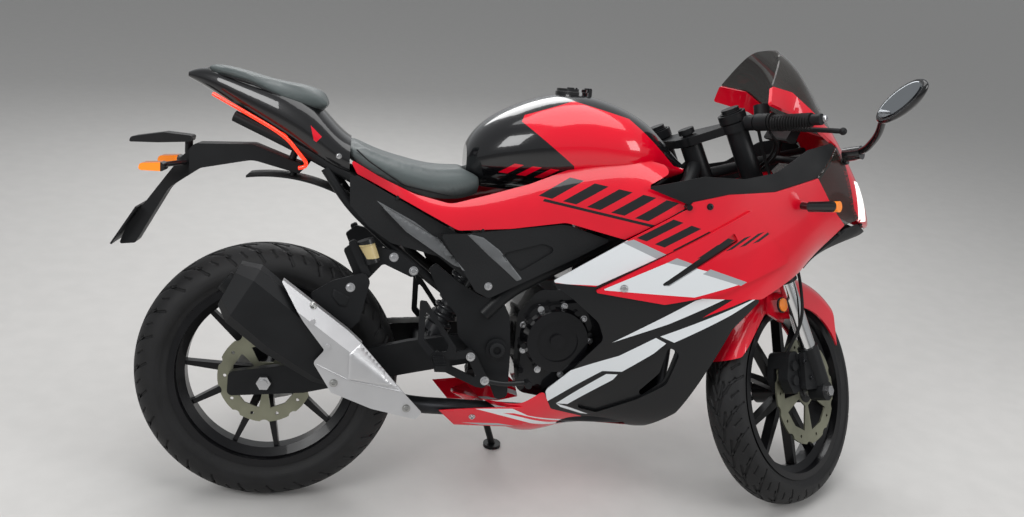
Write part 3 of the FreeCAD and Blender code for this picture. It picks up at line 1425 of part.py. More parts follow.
def chain():
    """Drive chain as one fixed loop: plates either side and rollers on its straight runs."""
    line = size("chain_offset")
    gap = size("sprocket_thickness") / 2 + 1.5
    near = Vector(0, 0, rear_centre.z)
    far = Vector(size("drive_sprocket_x"), 0, size("drive_sprocket_z"))
    near_radius = size("sprocket_radius") - 3
    far_radius = size("drive_sprocket_radius")
    half = size("chain_height") / 2
    bands = []
    for y in (line - gap - size("chain_plate"), line + gap):
        outer = Part.Face(belt_outline(near, near_radius + half, far, far_radius + half, y))
        inner = Part.Face(belt_outline(near, near_radius - half, far, far_radius - half, y))
        bands.append(outer.cut(inner).extrude(LEFT * size("chain_plate")))
    span = far - near
    along = math.atan2(span.z, span.x)
    turn = math.acos((near_radius - far_radius) / span.Length)
    rollers = []
    for angle in (along + turn, along - turn):
        start = near + Vector(math.cos(angle), 0, math.sin(angle)) * near_radius
        end = far + Vector(math.cos(angle), 0, math.sin(angle)) * far_radius
        for step in range(14):
            spot = start + (end - start) * (0.2 + 0.66 * step / 13)
            rollers.append(along_y(spot.x, spot.z, line - gap - 1, line + gap + 1, 4))
    return fuse(bands + rollers)


def rear_caliper():
    """Small caliper over the rear disc with its bracket on the swingarm."""
    line = size("rear_disc_offset")
    slot = size("disc_thickness") / 2 + 5
    outline = [(52, 388, 10), (92, 362, 10), (118, 398, 10), (78, 432, 10)]
    inner = size("swingarm_y") - size("swingarm_thickness") / 2
    block = prism(outline, -inner + 2, -line + 18)
    disc = along_y(0, rear_centre.z, -line - slot, -line + slot, size("rear_disc_radius") + 6)
    tab = prism([(60, 340, 4), (110, 345, 4), (112, 372, 4), (64, 380, 4)], -inner, -line - slot)
    return largest(fuse([block, tab]).cut(disc))


def fairing_stays():
    """Stays from frame and engine out to the side panels."""
    upper = along_y(955, 790, -215, -72, 7)
    lower = along_y(900, 480, -215, -90, 8)
    cover = along_y(660, 770, -190, -60, 7)
    return both_sides(Part.makeCompound([upper, lower, cover]))


def clear(shape, *tools):
    """Shape with its neighbours cut out, without the crumbs that this leaves."""
    count = len([solid for solid in shape.Solids if solid.Volume > 200])
    for tool in tools:
        shape = shape.cut(tool)
    solids = sorted(shape.Solids, key=lambda solid: solid.Volume, reverse=True)
    return Part.makeCompound(solids[:count]) if count > 1 else solids[0]


def chassis():
    """Sub-parts that stay with the frame, each cut clear of those that carry it."""
    frame = fuse([main_frame(), stand_lug(), subframe()])
    keep("frame", frame)
    arm = swingarm()
    keep("swingarm", arm)
    keep("through_bolts", Part.makeCompound([pivot_bolt(), rear_axle()]))
    keep("rear_shock", clear(rear_shock(), arm, frame))
    engine = clear(engine_block(), frame)
    keep("engine_block", engine)
    covers_right = clear(engine_covers(), frame)
    keep("engine_covers", covers_right)
    keep("radiator", clear(radiator(), engine, frame))
    keep("chain", chain())
    keep("rear_caliper", rear_caliper())
    can = muffler()
    pipe = clear(exhaust_pipe(), can, engine, frame)
    keep("exhaust_pipe", pipe)
    keep("muffler", can)
    keep("heat_shield", clear(heat_shield(), can, pipe))
    upper = upper_fairings()
    keep("upper_fairings", upper)
    lower = clear(lower_fairings(), exhaust_room(), covers_right, engine)
    keep("lower_fairings", lower)
    keep("wing_panels", wing_panels())
    keep("belly_pan", clear(belly_pan(), frame, exhaust_room(), lower))
    seat = rider_seat()
    tank = clear(fuel_tank(), frame)
    seat = clear(seat, tank, frame)
    pillion = pillion_seat()
    tail = clear(tail_cowl(), seat, pillion, frame)
    covers = clear(side_covers(), seat, tank, upper, tail)
    keep("side_covers", covers)
    keep("side_pads", clear(side_pads(), covers, upper))
    keep("fuel_tank", tank)
    keep("tank_cap", tank_cap())
    keep("rider_seat", seat)
    keep("pillion_seat", pillion)
    lamp = tail_light()
    keep("tail_light", both_sides(largest(tail.common(lamp))))
    keep("tail_cowl", clear(tail, lamp, mirrored(lamp)))
    keep("undertray", clear(undertray(), frame, tail))
    rear = fuse([rear_fender(), plate_lamp()])
    rear = clear(rear, tail, frame)
    keep("rear_fender", rear)
    keep("indicators", Part.makeCompound(
        clear(rear_indicators(), rear).Solids + clear(front_indicators(), upper).Solids))
    nose = nose_cowl()
    keep("nose_cowl", nose)
    lamps = clear(headlights(), nose, upper)
    keep("headlights", lamps)
    keep("nose_chin", nose_chin())
    keep("windscreen", windscreen())
    trim = clear(cockpit_trim(), nose, lamps, covers, upper)
    keep("cockpit_trim", trim)
    stay = clear(front_stay(), frame, nose, lamps, trim)
    keep("dash_stay", fuse([dash(), stay]))
    keep("mirrors", clear(mirrors(), nose, lamps, trim, stay))
    hangers = []
    for hanger in (peg_hangers(), rider_pegs(), passenger_pegs()):
        hangers += hanger.Solids
    rests = clear(fuse(hangers + [muffler_hanger()]), frame, can)
    keep("footrests", rests)
    controls = Part.makeCompound(foot_levers().Solids + [brake_reservoir()])
    keep("foot_controls", clear(controls, rests, frame))
    keep("fairing_stays", clear(fairing_stays(), frame, engine, covers, upper, lower, tank, trim))


def steering_set():
    """Sub-parts that turn with the handlebars."""
    keep("fork_outers", fork_outers(), steered_stance)
    keep("fork_inners", fork_inners(), steered_stance)
    keep("fork_bottoms", fork_bottoms(), steered_stance)
    keep("front_axle", front_axle(), steered_stance)
    keep("triple_clamps", triple_clamps(), steered_stance)
    bars = clear(handlebars(), triple_clamps())
    keep("handlebars", bars, steered_stance)
    keep("grips", grips(), steered_stance)
    controls = clear(bar_controls(), bars)
    keep("bar_controls", controls, steered_stance)
    keep("front_fender", front_fender(), steered_stance)
    caliper = front_caliper()
    keep("front_caliper", caliper, steered_stance)
    keep("brake_hose", clear(brake_hose(), controls, caliper), steered_stance)


wheels()
chassis()
steering_set()
keep("side_stand", side_stand())
doc.recompute()


# Place of the whole bike: middle of its footprint on the origin

whole = FreeCAD.BoundBox()
for item in pieces.values():
    whole.add(item.Shape.optimalBoundingBox(False))
shift = Placement(Vector(-whole.Center.x, -whole.Center.y, -whole.ZMin), Rotation())
for item in pieces.values():
    item.Placement = shift.multiply(item.Placement)
doc.recompute()

for item in doc.Objects:
    if "Invalid" in item.State or "Error" in item.State:
        raise RuntimeError(f"{item.Label} has failed")
for label, item in pieces.items():
    if item.Shape.isNull() or not item.Shape.isValid():
        raise RuntimeError(f"{label} has no valid shape")
for label, item in pieces.items():
    item.Shape.exportStep(f"parts/{label}.step")
    print(label, len(item.Shape.Solids), round(item.Shape.Volume / 1000))
print("shift", tuple(shift.Base))
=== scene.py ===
import json
import logging
import math
from dataclasses import dataclass, field
from enum import Enum

import bmesh
import bpy
from mathutils import Matrix, Vector


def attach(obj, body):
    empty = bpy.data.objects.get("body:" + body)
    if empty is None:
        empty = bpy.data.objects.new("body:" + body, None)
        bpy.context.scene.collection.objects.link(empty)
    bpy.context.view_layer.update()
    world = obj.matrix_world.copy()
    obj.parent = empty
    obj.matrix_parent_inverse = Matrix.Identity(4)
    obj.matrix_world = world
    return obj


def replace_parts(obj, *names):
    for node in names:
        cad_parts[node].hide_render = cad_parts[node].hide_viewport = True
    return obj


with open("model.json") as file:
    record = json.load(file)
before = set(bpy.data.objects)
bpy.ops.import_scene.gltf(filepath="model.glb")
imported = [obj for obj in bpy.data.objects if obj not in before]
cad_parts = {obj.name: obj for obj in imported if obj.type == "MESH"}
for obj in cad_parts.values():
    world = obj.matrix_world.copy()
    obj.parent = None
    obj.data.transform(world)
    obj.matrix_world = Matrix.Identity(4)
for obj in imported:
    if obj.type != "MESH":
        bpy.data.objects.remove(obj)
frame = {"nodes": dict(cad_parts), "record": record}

log = logging.getLogger("sport_bike")
MM = 0.001
# Degrees past which an edge of a round or padded piece stays sharp
ROUND_CREASE = 60.0


def axes_turn(*axes: Vector) -> Matrix:
    """Turn that lays X, Y and Z along three axes."""
    return Matrix(axes).transposed().to_4x4()


def facing(way: Vector) -> Matrix:
    """Turn that points Z along a direction."""
    return way.to_track_quat("Z", "Y").to_matrix().to_4x4()


def linked(name: str, data: bpy.types.ID) -> bpy.types.Object:
    """Put data into the scene as an object.

    Args:
        name: the object's name.
        data: its mesh, curve, camera or lamp.

    Returns:
        The object.
    """
    item = bpy.data.objects.new(name, data)
    bpy.context.scene.collection.objects.link(item)
    return item


class Tone(Enum):
    """Colours of the bike's finishes, as linear RGB."""

    RED = (0.76, 0.0, 0.018)
    WHITE = (0.74, 0.77, 0.79)
    PALE_GREY = (0.36, 0.38, 0.4)
    MID_GREY = (0.14, 0.145, 0.15)
    INK = (0.004, 0.004, 0.005)
    CHARCOAL = (0.0085, 0.009, 0.01)
    GRAPHITE = (0.03, 0.031, 0.034)
    STEEL = (0.42, 0.42, 0.41)
    SILVER = (0.6, 0.6, 0.61)
    OLIVE_STEEL = (0.27, 0.27, 0.2)
    CHROME = (0.75, 0.75, 0.75)
    RUBBER = (0.0085, 0.0085, 0.009)
    VINYL = (0.078, 0.094, 0.094)
    AMBER = (0.85, 0.22, 0.01)
    CREAM = (0.5, 0.4, 0.2)
    SMOKE = (0.03, 0.026, 0.022)
    LAMP_RED = (0.9, 0.035, 0.01)
    LAMP_WHITE = (1.0, 0.98, 0.94)
    FLOOR = (0.6, 0.59, 0.575)

    def scaled(self, share: float) -> tuple[float, ...]:
        """The colour made darker or lighter, with no channel over one."""
        return tuple(min(1.0, channel * share) for channel in self.value)


class Body(Enum):
    """Rigid bodies that the pieces ride on."""

    CHASSIS = "chassis"
    REAR_WHEEL = "rear_wheel"
    STEERING = "steering"
    FRONT_WHEEL = "front_wheel"


@dataclass(frozen=True)
class Stance:
    """Place of the upright bike's axes in the world, in metres."""

    origin: Vector
    forward: Vector
    left: Vector
    up: Vector

    def at(self, x: float, y: float, z: float) -> Vector:
        """World place of a point of the upright bike given in millimetres."""
        return self.origin + (self.forward * x + self.left * y + self.up * z) * MM

    def way(self, x: float, y: float, z: float) -> Vector:
        """World direction of a direction on the upright bike."""
        return (self.forward * x + self.left * y + self.up * z).normalized()

    def matrix(self) -> Matrix:
        """Matrix from the upright bike in metres to the world."""
        return Matrix.Translation(self.origin) @ axes_turn(self.forward, self.left, self.up)


RAKE = math.radians(25)
LOCK = math.radians(39)
# Places of the axles along the upright bike and up, in millimetres; each is as high as its tyre's radius
REAR_AXLE = (0.0, 314.0)
FRONT_AXLE = (1340.0, 293.0)


def joint(name: str) -> dict:
    """Facts of one of the record's joints."""
    return next(item for item in frame["record"]["behaviour"]["joints"] if item["name"] == name)


def leaned_stance() -> Stance:
    """Stance of everything that doesn't turn with the handlebars.

    Returns:
        The stance worked out from the rear axle and the steering axis.
    """
    left = Vector(joint("rear_wheel_spin")["axis"]).normalized()
    column = Vector(joint("steering_turn")["axis"]).normalized()
    across = left.cross(column)
    forward = across * math.cos(RAKE) - column * math.sin(RAKE)
    up = across * math.sin(RAKE) + column * math.cos(RAKE)
    axle = Vector(joint("rear_wheel_spin")["pos_m"])
    return Stance(axle - up * REAR_AXLE[1] * MM, forward, left, up)


def steered_stance(still: Stance) -> Stance:
    """Stance of what turns with the handlebars, as if the bike were steered straight.

    Args:
        still: the stance of the chassis.

    Returns:
        The stance turned about the steering axis by the lock.
    """
    foot = Vector(joint("steering_turn")["pos_m"])
    turn = Matrix.Rotation(LOCK, 3, Vector(joint("steering_turn")["axis"]))
    return Stance(foot + turn @ (still.origin - foot), turn @ still.forward,
                  turn @ still.left, turn @ still.up)


STILL = leaned_stance()
STEERED = steered_stance(STILL)


class Nodes:
    """Small helper that wires a material's nodes."""

    def __init__(self, name: str) -> None:
        """Start a material with an empty tree.

        Args:
            name: the material's name.
        """
        self.material = bpy.data.materials.new(name)
        self.material.use_nodes = True
        self.tree = self.material.node_tree
        self.tree.nodes.clear()
        self.output = self.tree.nodes.new("ShaderNodeOutputMaterial")

    def add(self, kind: str, **values: object) -> bpy.types.Node:
        """Add a node.

        Args:
            kind: the node's type, without its ShaderNode prefix.
            values: its properties.

        Returns:
            The node.
        """
        node = self.tree.nodes.new("ShaderNode" + kind)
        for name, value in values.items():
            setattr(node, name, value)
        return node

    def join(self, source: object, target: object) -> None:
        """Link a socket to another, or set a plain value on it.

        Args:
            source: the socket or the value that is given.
            target: the socket that takes it.
        """
        if isinstance(source, bpy.types.NodeSocket):
            self.tree.links.new(source, target)
        else:
            target.default_value = source

    def math(self, operation: str, first: object, second: object = 0.0) -> bpy.types.NodeSocket:
        """Math node.

        Args:
            operation: its operation.
            first: socket or number.
            second: socket or number.

        Returns:
            The result's socket.
        """
        node = self.add("Math", operation=operation)
        self.join(first, node.inputs[0])
        self.join(second, node.inputs[1])
        return node.outputs[0]

    def place(self, stance: Stance | None = None) -> bpy.types.NodeSocket:
        """Coordinates of the surface in metres.

        Args:
            stance: where given, the coordinates are those of the upright bike.

        Returns:
            The coordinates' socket.
        """
        source = self.add("TexCoord").outputs["Object"]
        if stance is None:
            return source
        mapping = self.add("Mapping", vector_type="POINT")
        back = stance.matrix().inverted()
        mapping.inputs["Rotation"].default_value = back.to_euler("XYZ")
        mapping.inputs["Location"].default_value = back.to_translation()
        self.join(source, mapping.inputs["Vector"])
        return mapping.outputs[0]

    def noise(self, where: object, scale: float, detail: float = 3.0) -> bpy.types.NodeSocket:
        """Noise texture's value.

        Args:
            where: coordinates.
            scale: cells in a metre.
            detail: octaves.

        Returns:
            The value's socket.
        """
        node = self.add("TexNoise")
        for name, value in (("Vector", where), ("Scale", scale), ("Detail", detail)):
            self.join(value, node.inputs[name])
        return node.outputs[0]

    def cells(self, where: object, scale: float, **values: object) -> bpy.types.NodeSocket:
        """Distance from the middles of random cells.

        Args:
            where: coordinates.
            scale: cells in a metre.
            values: the texture's properties.

        Returns:
            The distance's socket.
        """
        node = self.add("TexVoronoi", **values)
        self.join(where, node.inputs["Vector"])
        self.join(scale, node.inputs["Scale"])
        return node.outputs["Distance"]

    def ramp(self, value: object, low: float, high: float, bottom: float, top: float) -> object:
        """Stretch of a value.

        Args:
            value: the socket that is stretched.
            low: value that gives bottom.
            high: value that gives top.
            bottom: least result.
            top: greatest result.

        Returns:
            The result's socket.
        """
        node = self.add("MapRange")
        for name, number in (("From Min", low), ("From Max", high), ("To Min", bottom), ("To Max", top)):
            node.inputs[name].default_value = number
        self.join(value, node.inputs["Value"])
        return node.outputs[0]

    def blend(self, share: object, first: object, second: object) -> bpy.types.NodeSocket:
        """Mix of two colours.

        Args:
            share: how much of the second.
            first: colour or socket.
            second: colour or socket.

        Returns:
            The colour's socket.
        """
        node = self.add("Mix", data_type="RGBA")
        self.join(share, node.inputs[0])
        for colour, target in ((first, node.inputs[6]), (second, node.inputs[7])):
            if isinstance(colour, tuple):
                colour = (*colour, 1.0)
            self.join(colour, target)
        return node.outputs[2]

    def mottled(self, value: object, first: object, second: object, low: float = 0.35,
                high: float = 0.65) -> bpy.types.NodeSocket:
        """Mix of two colours that follows a value.

        Args:
            value: the value's socket.
            first: colour below the low bound.
            second: colour above the high bound.
            low: the low bound.
            high: the high bound.

        Returns:
            The colour's socket.
        """
        return self.blend(self.ramp(value, low, high, 0, 1), first, second)

    def worn(self, value: object, least: float, most: float) -> bpy.types.NodeSocket:
        """Roughness between two bounds that follows a value."""
        return self.ramp(value, 0.3, 0.7, least, most)

    def bump(self, height: object, strength: float, distance: float) -> bpy.types.NodeSocket:
        """Bump from a height.

        Args:
            height: the height's socket.
            strength: share of the effect.
            distance: metres that a height of one stands for.

        Returns:
            The normal's socket.
        """
        node = self.add("Bump")
        for name, value in (("Height", height), ("Strength", strength), ("Distance", distance)):
            self.join(value, node.inputs[name])
        return node.outputs[0]

    def shader(self, **values: object) -> bpy.types.Node:
        """Principled shader joined to the output.

        Args:
            values: its inputs, with underscores for spaces.

        Returns:
            The shader's node.
        """
        node = self.add("BsdfPrincipled")
        for name, value in values.items():
            target = node.inputs[name.replace("_", " ").title().replace("Ior", "IOR")]
            if isinstance(value, tuple) and len(value) == 3:
                value = (*value, 1.0)
            self.join(value, target)
        self.join(node.outputs[0], self.output.inputs["Surface"])
        return node


@dataclass(frozen=True)
class Look:
    """What every finish shares: its name and the making of its material."""

    name: str

    def wire(self, nodes: Nodes) -> None:
        """Wire the nodes that make this finish what it is."""
        raise NotImplementedError

    def build(self) -> bpy.types.Material:
        """Make the finish's material.

        Returns:
            The material.
        """
        nodes = Nodes(self.name)
        self.wire(nodes)
        return nodes.material


@dataclass(frozen=True)
class Finish(Look):
    """Plain finish: a colour with slight mottle, roughness and a fine bump."""

    tone: Tone
    roughness: float = 0.5
    metallic: float = 0.0
    coat: float = 0.0
    grain: float = 400.0
    relief: float = 0.00005
    mottle: float = 0.12
    specular: float = 0.22

    def wire(self, nodes: Nodes) -> None:
        """Wire the finish's nodes.

        Args:
            nodes: the material's nodes.
        """
        where = nodes.place()
        cloud = nodes.noise(where, 14.0, 4.0)
        fine = nodes.noise(where, self.grain, 2.0)
        dark, light = self.tone.scaled(1 - self.mottle), self.tone.scaled(1 + self.mottle)
        rough = nodes.worn(cloud, self.roughness * 0.85, min(1.0, self.roughness * 1.15))
        nodes.shader(base_color=nodes.mottled(cloud, dark, light), metallic=self.metallic,
                     roughness=rough, coat_weight=self.coat, coat_roughness=0.04,
                     specular_ior_level=self.specular, normal=nodes.bump(fine, 0.6, self.relief))


@dataclass(frozen=True)
class Patch:
    """Convex patch of the livery in the side view of the upright bike, in millimetres."""

    tone: Tone
    corners: tuple[tuple[float, float], ...]
    glow: float = 0.0

    def mask(self, nodes: Nodes, where: object) -> bpy.types.NodeSocket:
        """One inside the patch and nought outside.

        Args:
            nodes: the material's nodes.
            where: coordinates on the upright bike.

        Returns:
            The mask's socket.
        """
        edges = list(zip(self.corners, self.corners[1:] + self.corners[:1]))
        area = sum(x * next_z - next_x * z for (x, z), (next_x, next_z) in edges)
        turn = 1 if area > 0 else -1
        result: object = 1.0
        for (x, z), (next_x, next_z) in edges:
            inward = Vector((z - next_z, 0, next_x - x)).normalized() * turn
            dot = nodes.add("VectorMath", operation="DOT_PRODUCT")
            nodes.join(where, dot.inputs[0])
            dot.inputs[1].default_value = inward
            edge = inward.dot(Vector((x, 0, z))) * MM
            result = nodes.math("MULTIPLY", nodes.math("GREATER_THAN", dot.outputs["Value"], edge), result)
        return result


@dataclass(frozen=True)
class Livery(Look):
    """Gloss paint with patches of other colours over its base."""

    base: Tone
    patches: tuple[Patch, ...] = ()
    stance: Stance | None = None
    roughness: float = 0.3
    coat: float = 1.0
    grain: float = 260.0
    relief: float = 0.00004

    def wire(self, nodes: Nodes) -> None:
        """Wire the livery's nodes.

        Args:
            nodes: the material's nodes.
        """
        where = nodes.place(self.stance or STILL)
        cloud = nodes.noise(where, 6.0, 3.0)
        colour: object = nodes.mottled(cloud, self.base.scaled(0.9), self.base.value)
        shine: object = 0.0
        for patch in self.patches:
            mask = patch.mask(nodes, where)
            colour = nodes.blend(mask, colour, patch.tone.value)
            if patch.glow:
                shine = nodes.math("ADD", shine, nodes.math("MULTIPLY", mask, patch.glow))
        peel = nodes.noise(where, self.grain, 1.0)
        shader = nodes.shader(base_color=colour, roughness=self.roughness, coat_weight=self.coat,
                              coat_roughness=0.03, specular_ior_level=0.25,
                              normal=nodes.bump(peel, 0.4, self.relief))
        if isinstance(shine, bpy.types.NodeSocket):
            nodes.join(colour, shader.inputs["Emission Color"])
            nodes.join(shine, shader.inputs["Emission Strength"])


def slashes(tone: Tone, start: tuple[float, float], step: tuple[float, float], count: int,
            width: float, rise: tuple[float, float]) -> tuple[Patch, ...]:
    """Row of plain slanted bars.

    Args:
        tone: their colour.
        start: lower rear corner of the first bar, in millimetres.
        step: way from one bar to the next.
        count: number of bars.
        width: share of the step that a bar fills.
        rise: way from a bar's lower edge to its upper edge.

    Returns:
        The bars' patches.
    """
    bars = []
    for index in range(count):
        x, z = start[0] + step[0] * index, start[1] + step[1] * index
        end_x, end_z = x + step[0] * width, z + step[1] * width
        bars.append(Patch(tone, ((x, z), (end_x, end_z), (end_x + rise[0], end_z + rise[1]),
                                 (x + rise[0], z + rise[1]))))
    return tuple(bars)


@dataclass(frozen=True)
class TyreRubber(Look):
    """Rubber with fine rings on the sidewall and a worn, dusty crown."""

    stance: Stance
    axle: tuple[float, float]
    wall: tuple[float, float]
    ring_pitch: float = 3.5

    def wire(self, nodes: Nodes) -> None:
        """Wire the rubber's nodes.

        Args:
            nodes: the material's nodes.
        """
        where = nodes.place(self.stance)
        parts = nodes.add("SeparateXYZ")
        nodes.join(where, parts.inputs[0])
        across = nodes.math("SUBTRACT", parts.outputs[0], self.axle[0] * MM)
        rise = nodes.math("SUBTRACT", parts.outputs[2], self.axle[1] * MM)
        square = nodes.math("ADD", nodes.math("MULTIPLY", across, across), nodes.math("MULTIPLY", rise, rise))
        radius = nodes.math("SQRT", square)
        rings = nodes.math("SINE", nodes.math("MULTIPLY", radius, 2 * math.pi / (self.ring_pitch * MM)))
        on_wall = nodes.math("MULTIPLY", nodes.math("GREATER_THAN", radius, self.wall[0] * MM),
                             nodes.math("LESS_THAN", radius, self.wall[1] * MM))
        fine = nodes.noise(where, 1100.0, 2.0)
        cloud = nodes.noise(where, 22.0, 4.0)
        height = nodes.math("ADD", nodes.math("MULTIPLY", rings, nodes.math("MULTIPLY", on_wall, 0.35)), fine)
        dust = Tone.RUBBER.scaled(1.7)
        nodes.shader(base_color=nodes.mottled(cloud, Tone.RUBBER.value, dust, 0.4, 0.7),
                     roughness=nodes.worn(cloud, 0.5, 0.68), specular_ior_level=0.3,
                     normal=nodes.bump(height, 0.7, 0.0003))


@dataclass(frozen=True)
class Finned(Look):
    """Dark metal with close level fins, with painted shade in the gaps between them."""

    tone: Tone
    pitch: float = 3.2

    def wire(self, nodes: Nodes) -> None:
        """Wire the finned metal's nodes, with painted shade in the gaps between the fins.

        Args:
            nodes: the material's nodes.
        """
        where = nodes.place(STILL)
        parts = nodes.add("SeparateXYZ")
        nodes.join(where, parts.inputs[0])
        fins = nodes.math("SINE", nodes.math("MULTIPLY", parts.outputs[2], 2 * math.pi / (self.pitch * MM)))
        # Painted shade: the colour darkens to a fifth of the tone in the gaps between the fins.
        shade = nodes.mottled(fins, self.tone.scaled(0.2), self.tone.value, -0.6, 0.8)
        nodes.shader(base_color=shade, metallic=0.7, roughness=0.5, normal=nodes.bump(fins, 0.9, 0.0008))


@dataclass(frozen=True)
class Grained(Look):
    """Moulded plastic or vinyl with a pebbled grain."""

    tone: Tone
    roughness: float = 0.55
    cells: float = 420.0
    relief: float = 0.0004
    sheen: float = 0.0
    patches: tuple[Patch, ...] = ()

    def wire(self, nodes: Nodes) -> None:
        """Wire the grained surface's nodes.

        Args:
            nodes: the material's nodes.
        """
        where = nodes.place(STILL)
        pebbles = nodes.cells(where, self.cells, feature="SMOOTH_F1")
        cloud = nodes.noise(where, 9.0, 4.0)
        colour = nodes.mottled(cloud, self.tone.scaled(0.82), self.tone.value)
        for patch in self.patches:
            colour = nodes.blend(patch.mask(nodes, where), colour, patch.tone.value)
        rough = nodes.worn(cloud, self.roughness * 0.9, self.roughness * 1.1)
        nodes.shader(base_color=colour, roughness=rough, specular_ior_level=0.3,
                     sheen_weight=self.sheen, normal=nodes.bump(pebbles, 0.6, self.relief))


@dataclass(frozen=True)
class Glass(Look):
    """Clear or smoked plastic."""

    tone: Tone
    alpha: float = 0.35
    roughness: float = 0.04

    def wire(self, nodes: Nodes) -> None:
        """Wire the glass's nodes.

        Args:
            nodes: the material's nodes.
        """
        haze = nodes.noise(nodes.place(), 9.0, 3.0)
        rough = nodes.worn(haze, self.roughness, self.roughness * 2.5)
        nodes.shader(base_color=self.tone.value, roughness=rough, alpha=self.alpha,
                     specular_ior_level=0.7, coat_weight=0.6, coat_roughness=0.02)


@dataclass(frozen=True)
class Lamp(Look):
    """Lit lens."""

    tone: Tone
    strength: float
    facets: float = 180.0

    def wire(self, nodes: Nodes) -> None:
        """Wire the lamp's nodes.

        Args:
            nodes: the material's nodes.
        """
        cells = nodes.cells(nodes.place(), self.facets)
        glow = nodes.mottled(cells, self.tone.value, self.tone.scaled(0.75), 0.1, 0.6)
        nodes.shader(base_color=glow, roughness=0.15, coat_weight=0.5, emission_color=glow,
                     emission_strength=self.strength)


GLOSS_BLACK = Finish("gloss_black", Tone.INK, 0.2, coat=1.0, grain=240, relief=0.00003)
WHEEL_BLACK = Finish("wheel_black", Tone.INK, 0.34, coat=0.15, grain=500, relief=0.00005)
SATIN_BLACK = Finish("satin_black", Tone.CHARCOAL, 0.4, grain=700, relief=0.00006)
CAST_BLACK = Finish("cast_black", Tone.CHARCOAL, 0.48, grain=900, relief=0.00018)
MATT_PLASTIC = Finish("matt_plastic", Tone.CHARCOAL, 0.52, grain=1400, relief=0.00012)
GREY_BLADE = Finish("grey_blade", Tone.MID_GREY, 0.4, metallic=0.3)
ENGINE_BLACK = Finish("engine_black", Tone.INK, 0.24, coat=0.7, grain=500, relief=0.00012)
BARE_STEEL = Finish("bare_steel", Tone.STEEL, 0.32, metallic=1.0, grain=900)
BOLT_SILVER = Finish("bolt_silver", Tone.SILVER, 0.28, metallic=1.0, grain=900)
BOLT_STEEL = Finish("bolt_steel", Tone.STEEL, 0.3, metallic=1.0, grain=900)
BOLT_BLACK = Finish("bolt_black", Tone.GRAPHITE, 0.35, metallic=0.8, grain=900)
DISC_STEEL = Finish("disc_steel", Tone.OLIVE_STEEL, 0.38, metallic=0.9, grain=600)
CHROME = Finish("chrome", Tone.CHROME, 0.1, metallic=1.0, relief=0.00001, mottle=0.03)
MIRROR = Finish("mirror_glass", Tone.PALE_GREY, 0.03, metallic=1.0, relief=0.000002, mottle=0.02)
SHIELD_SATIN = Finish("shield_satin", Tone.SILVER, 0.42, metallic=0.85, grain=1200, relief=0.00008,
                      mottle=0.02)
PIPE_BLACK = Finish("pipe_black", Tone.GRAPHITE, 0.4, metallic=0.7, mottle=0.3)
SILENCER_BLACK = Finish("silencer_black", Tone.CHARCOAL, 0.5, grain=1300, relief=0.0001)
GRIP_RUBBER = Finish("grip_rubber", Tone.RUBBER, 0.7, grain=1500, relief=0.0002)
SPRING_BLACK = Finish("spring_black", Tone.GRAPHITE, 0.35, coat=0.5)
CHAIN_STEEL = Finish("chain_steel", Tone.STEEL, 0.42, metallic=1.0, mottle=0.3)
REFLECTOR = Finish("reflector_amber", Tone.AMBER, 0.15, coat=1.0, grain=500, relief=0.0004)
PIPING = Finish("seat_piping", Tone.CHARCOAL, 0.5, grain=900, relief=0.0001)
REAR_RUBBER = TyreRubber("rear_tyre_rubber", STILL, REAR_AXLE, (238, 262))
FRONT_RUBBER = TyreRubber("front_tyre_rubber", STEERED, FRONT_AXLE, (238, 254))
RADIATOR_FINS = Finned("radiator_fins", Tone.MID_GREY)
SEAT_VINYL = Grained("seat_vinyl", Tone.VINYL, 0.5, cells=700, relief=0.00025, sheen=0.08)
GRAINED_PAD = Grained("grained_pad", Tone.CHARCOAL, 0.55, cells=330, relief=0.0005, patches=(
    Patch(Tone.MID_GREY, ((240, 757), (312, 688), (384, 675), (330, 712))),
    Patch(Tone.MID_GREY, ((384, 679), (310, 690), (425, 615), (450, 608))),
    Patch(Tone.MID_GREY, ((445, 694), (504, 646), (570, 588), (584, 594), (526, 658), (488, 686))),
))

SCREEN = Glass("smoked_screen", Tone.SMOKE, 0.66)
LENS = Glass("smoked_lens", Tone.SMOKE, 0.6)
TAIL_LAMP = Lamp("tail_lamp", Tone.LAMP_RED, 1.4)
DAY_LAMP = Lamp("day_lamp", Tone.LAMP_WHITE, 1.3)

RED_PAINT = Livery("red_paint", Tone.RED)
STEERED_RED = Livery("steered_red_paint", Tone.RED, stance=STEERED)
UPPER_PAINT = Livery("upper_paint", Tone.RED, (
    Patch(Tone.WHITE, ((640, 595), (685, 595), (747, 590), (908, 669), (813, 706))),
    Patch(Tone.PALE_GREY, ((806, 700), (895, 664), (920, 674), (832, 708))),
    # Painted shade: the red fairing seen through the wing's slot is painted black, for the shade inside the
    # slot.
    Patch(Tone.INK, ((868, 596), (930, 588), (1144, 705), (1098, 724), (970, 670))),
    Patch(Tone.INK, ((744, 588), (760, 588), (1046, 738), (1034, 742))),
    *slashes(Tone.INK, (838, 712), (44, -12), 4, 0.55, (84, 48)),
))
WING_PAINT = Livery("wing_paint", Tone.RED, (
    Patch(Tone.WHITE, ((771, 589), (773, 586), (990, 579), (1107, 615), (1022, 641), (976, 651), (918, 661))),
    Patch(Tone.PALE_GREY, ((914, 659), (976, 649), (983, 657), (936, 671))),
    Patch(Tone.PALE_GREY, ((1003, 636), (1104, 610), (1119, 619), (1021, 648))),
    *slashes(Tone.INK, (985, 672), (34, 10), 5, 0.5, (46, 34)),
))
COVER_PAINT = Livery("cover_paint", Tone.RED, (
    *slashes(Tone.INK, (610, 792), (56, -9), 6, 0.56, (72, 46)),
    Patch(Tone.INK, ((620, 780), (930, 728), (940, 733), (624, 786))),
))
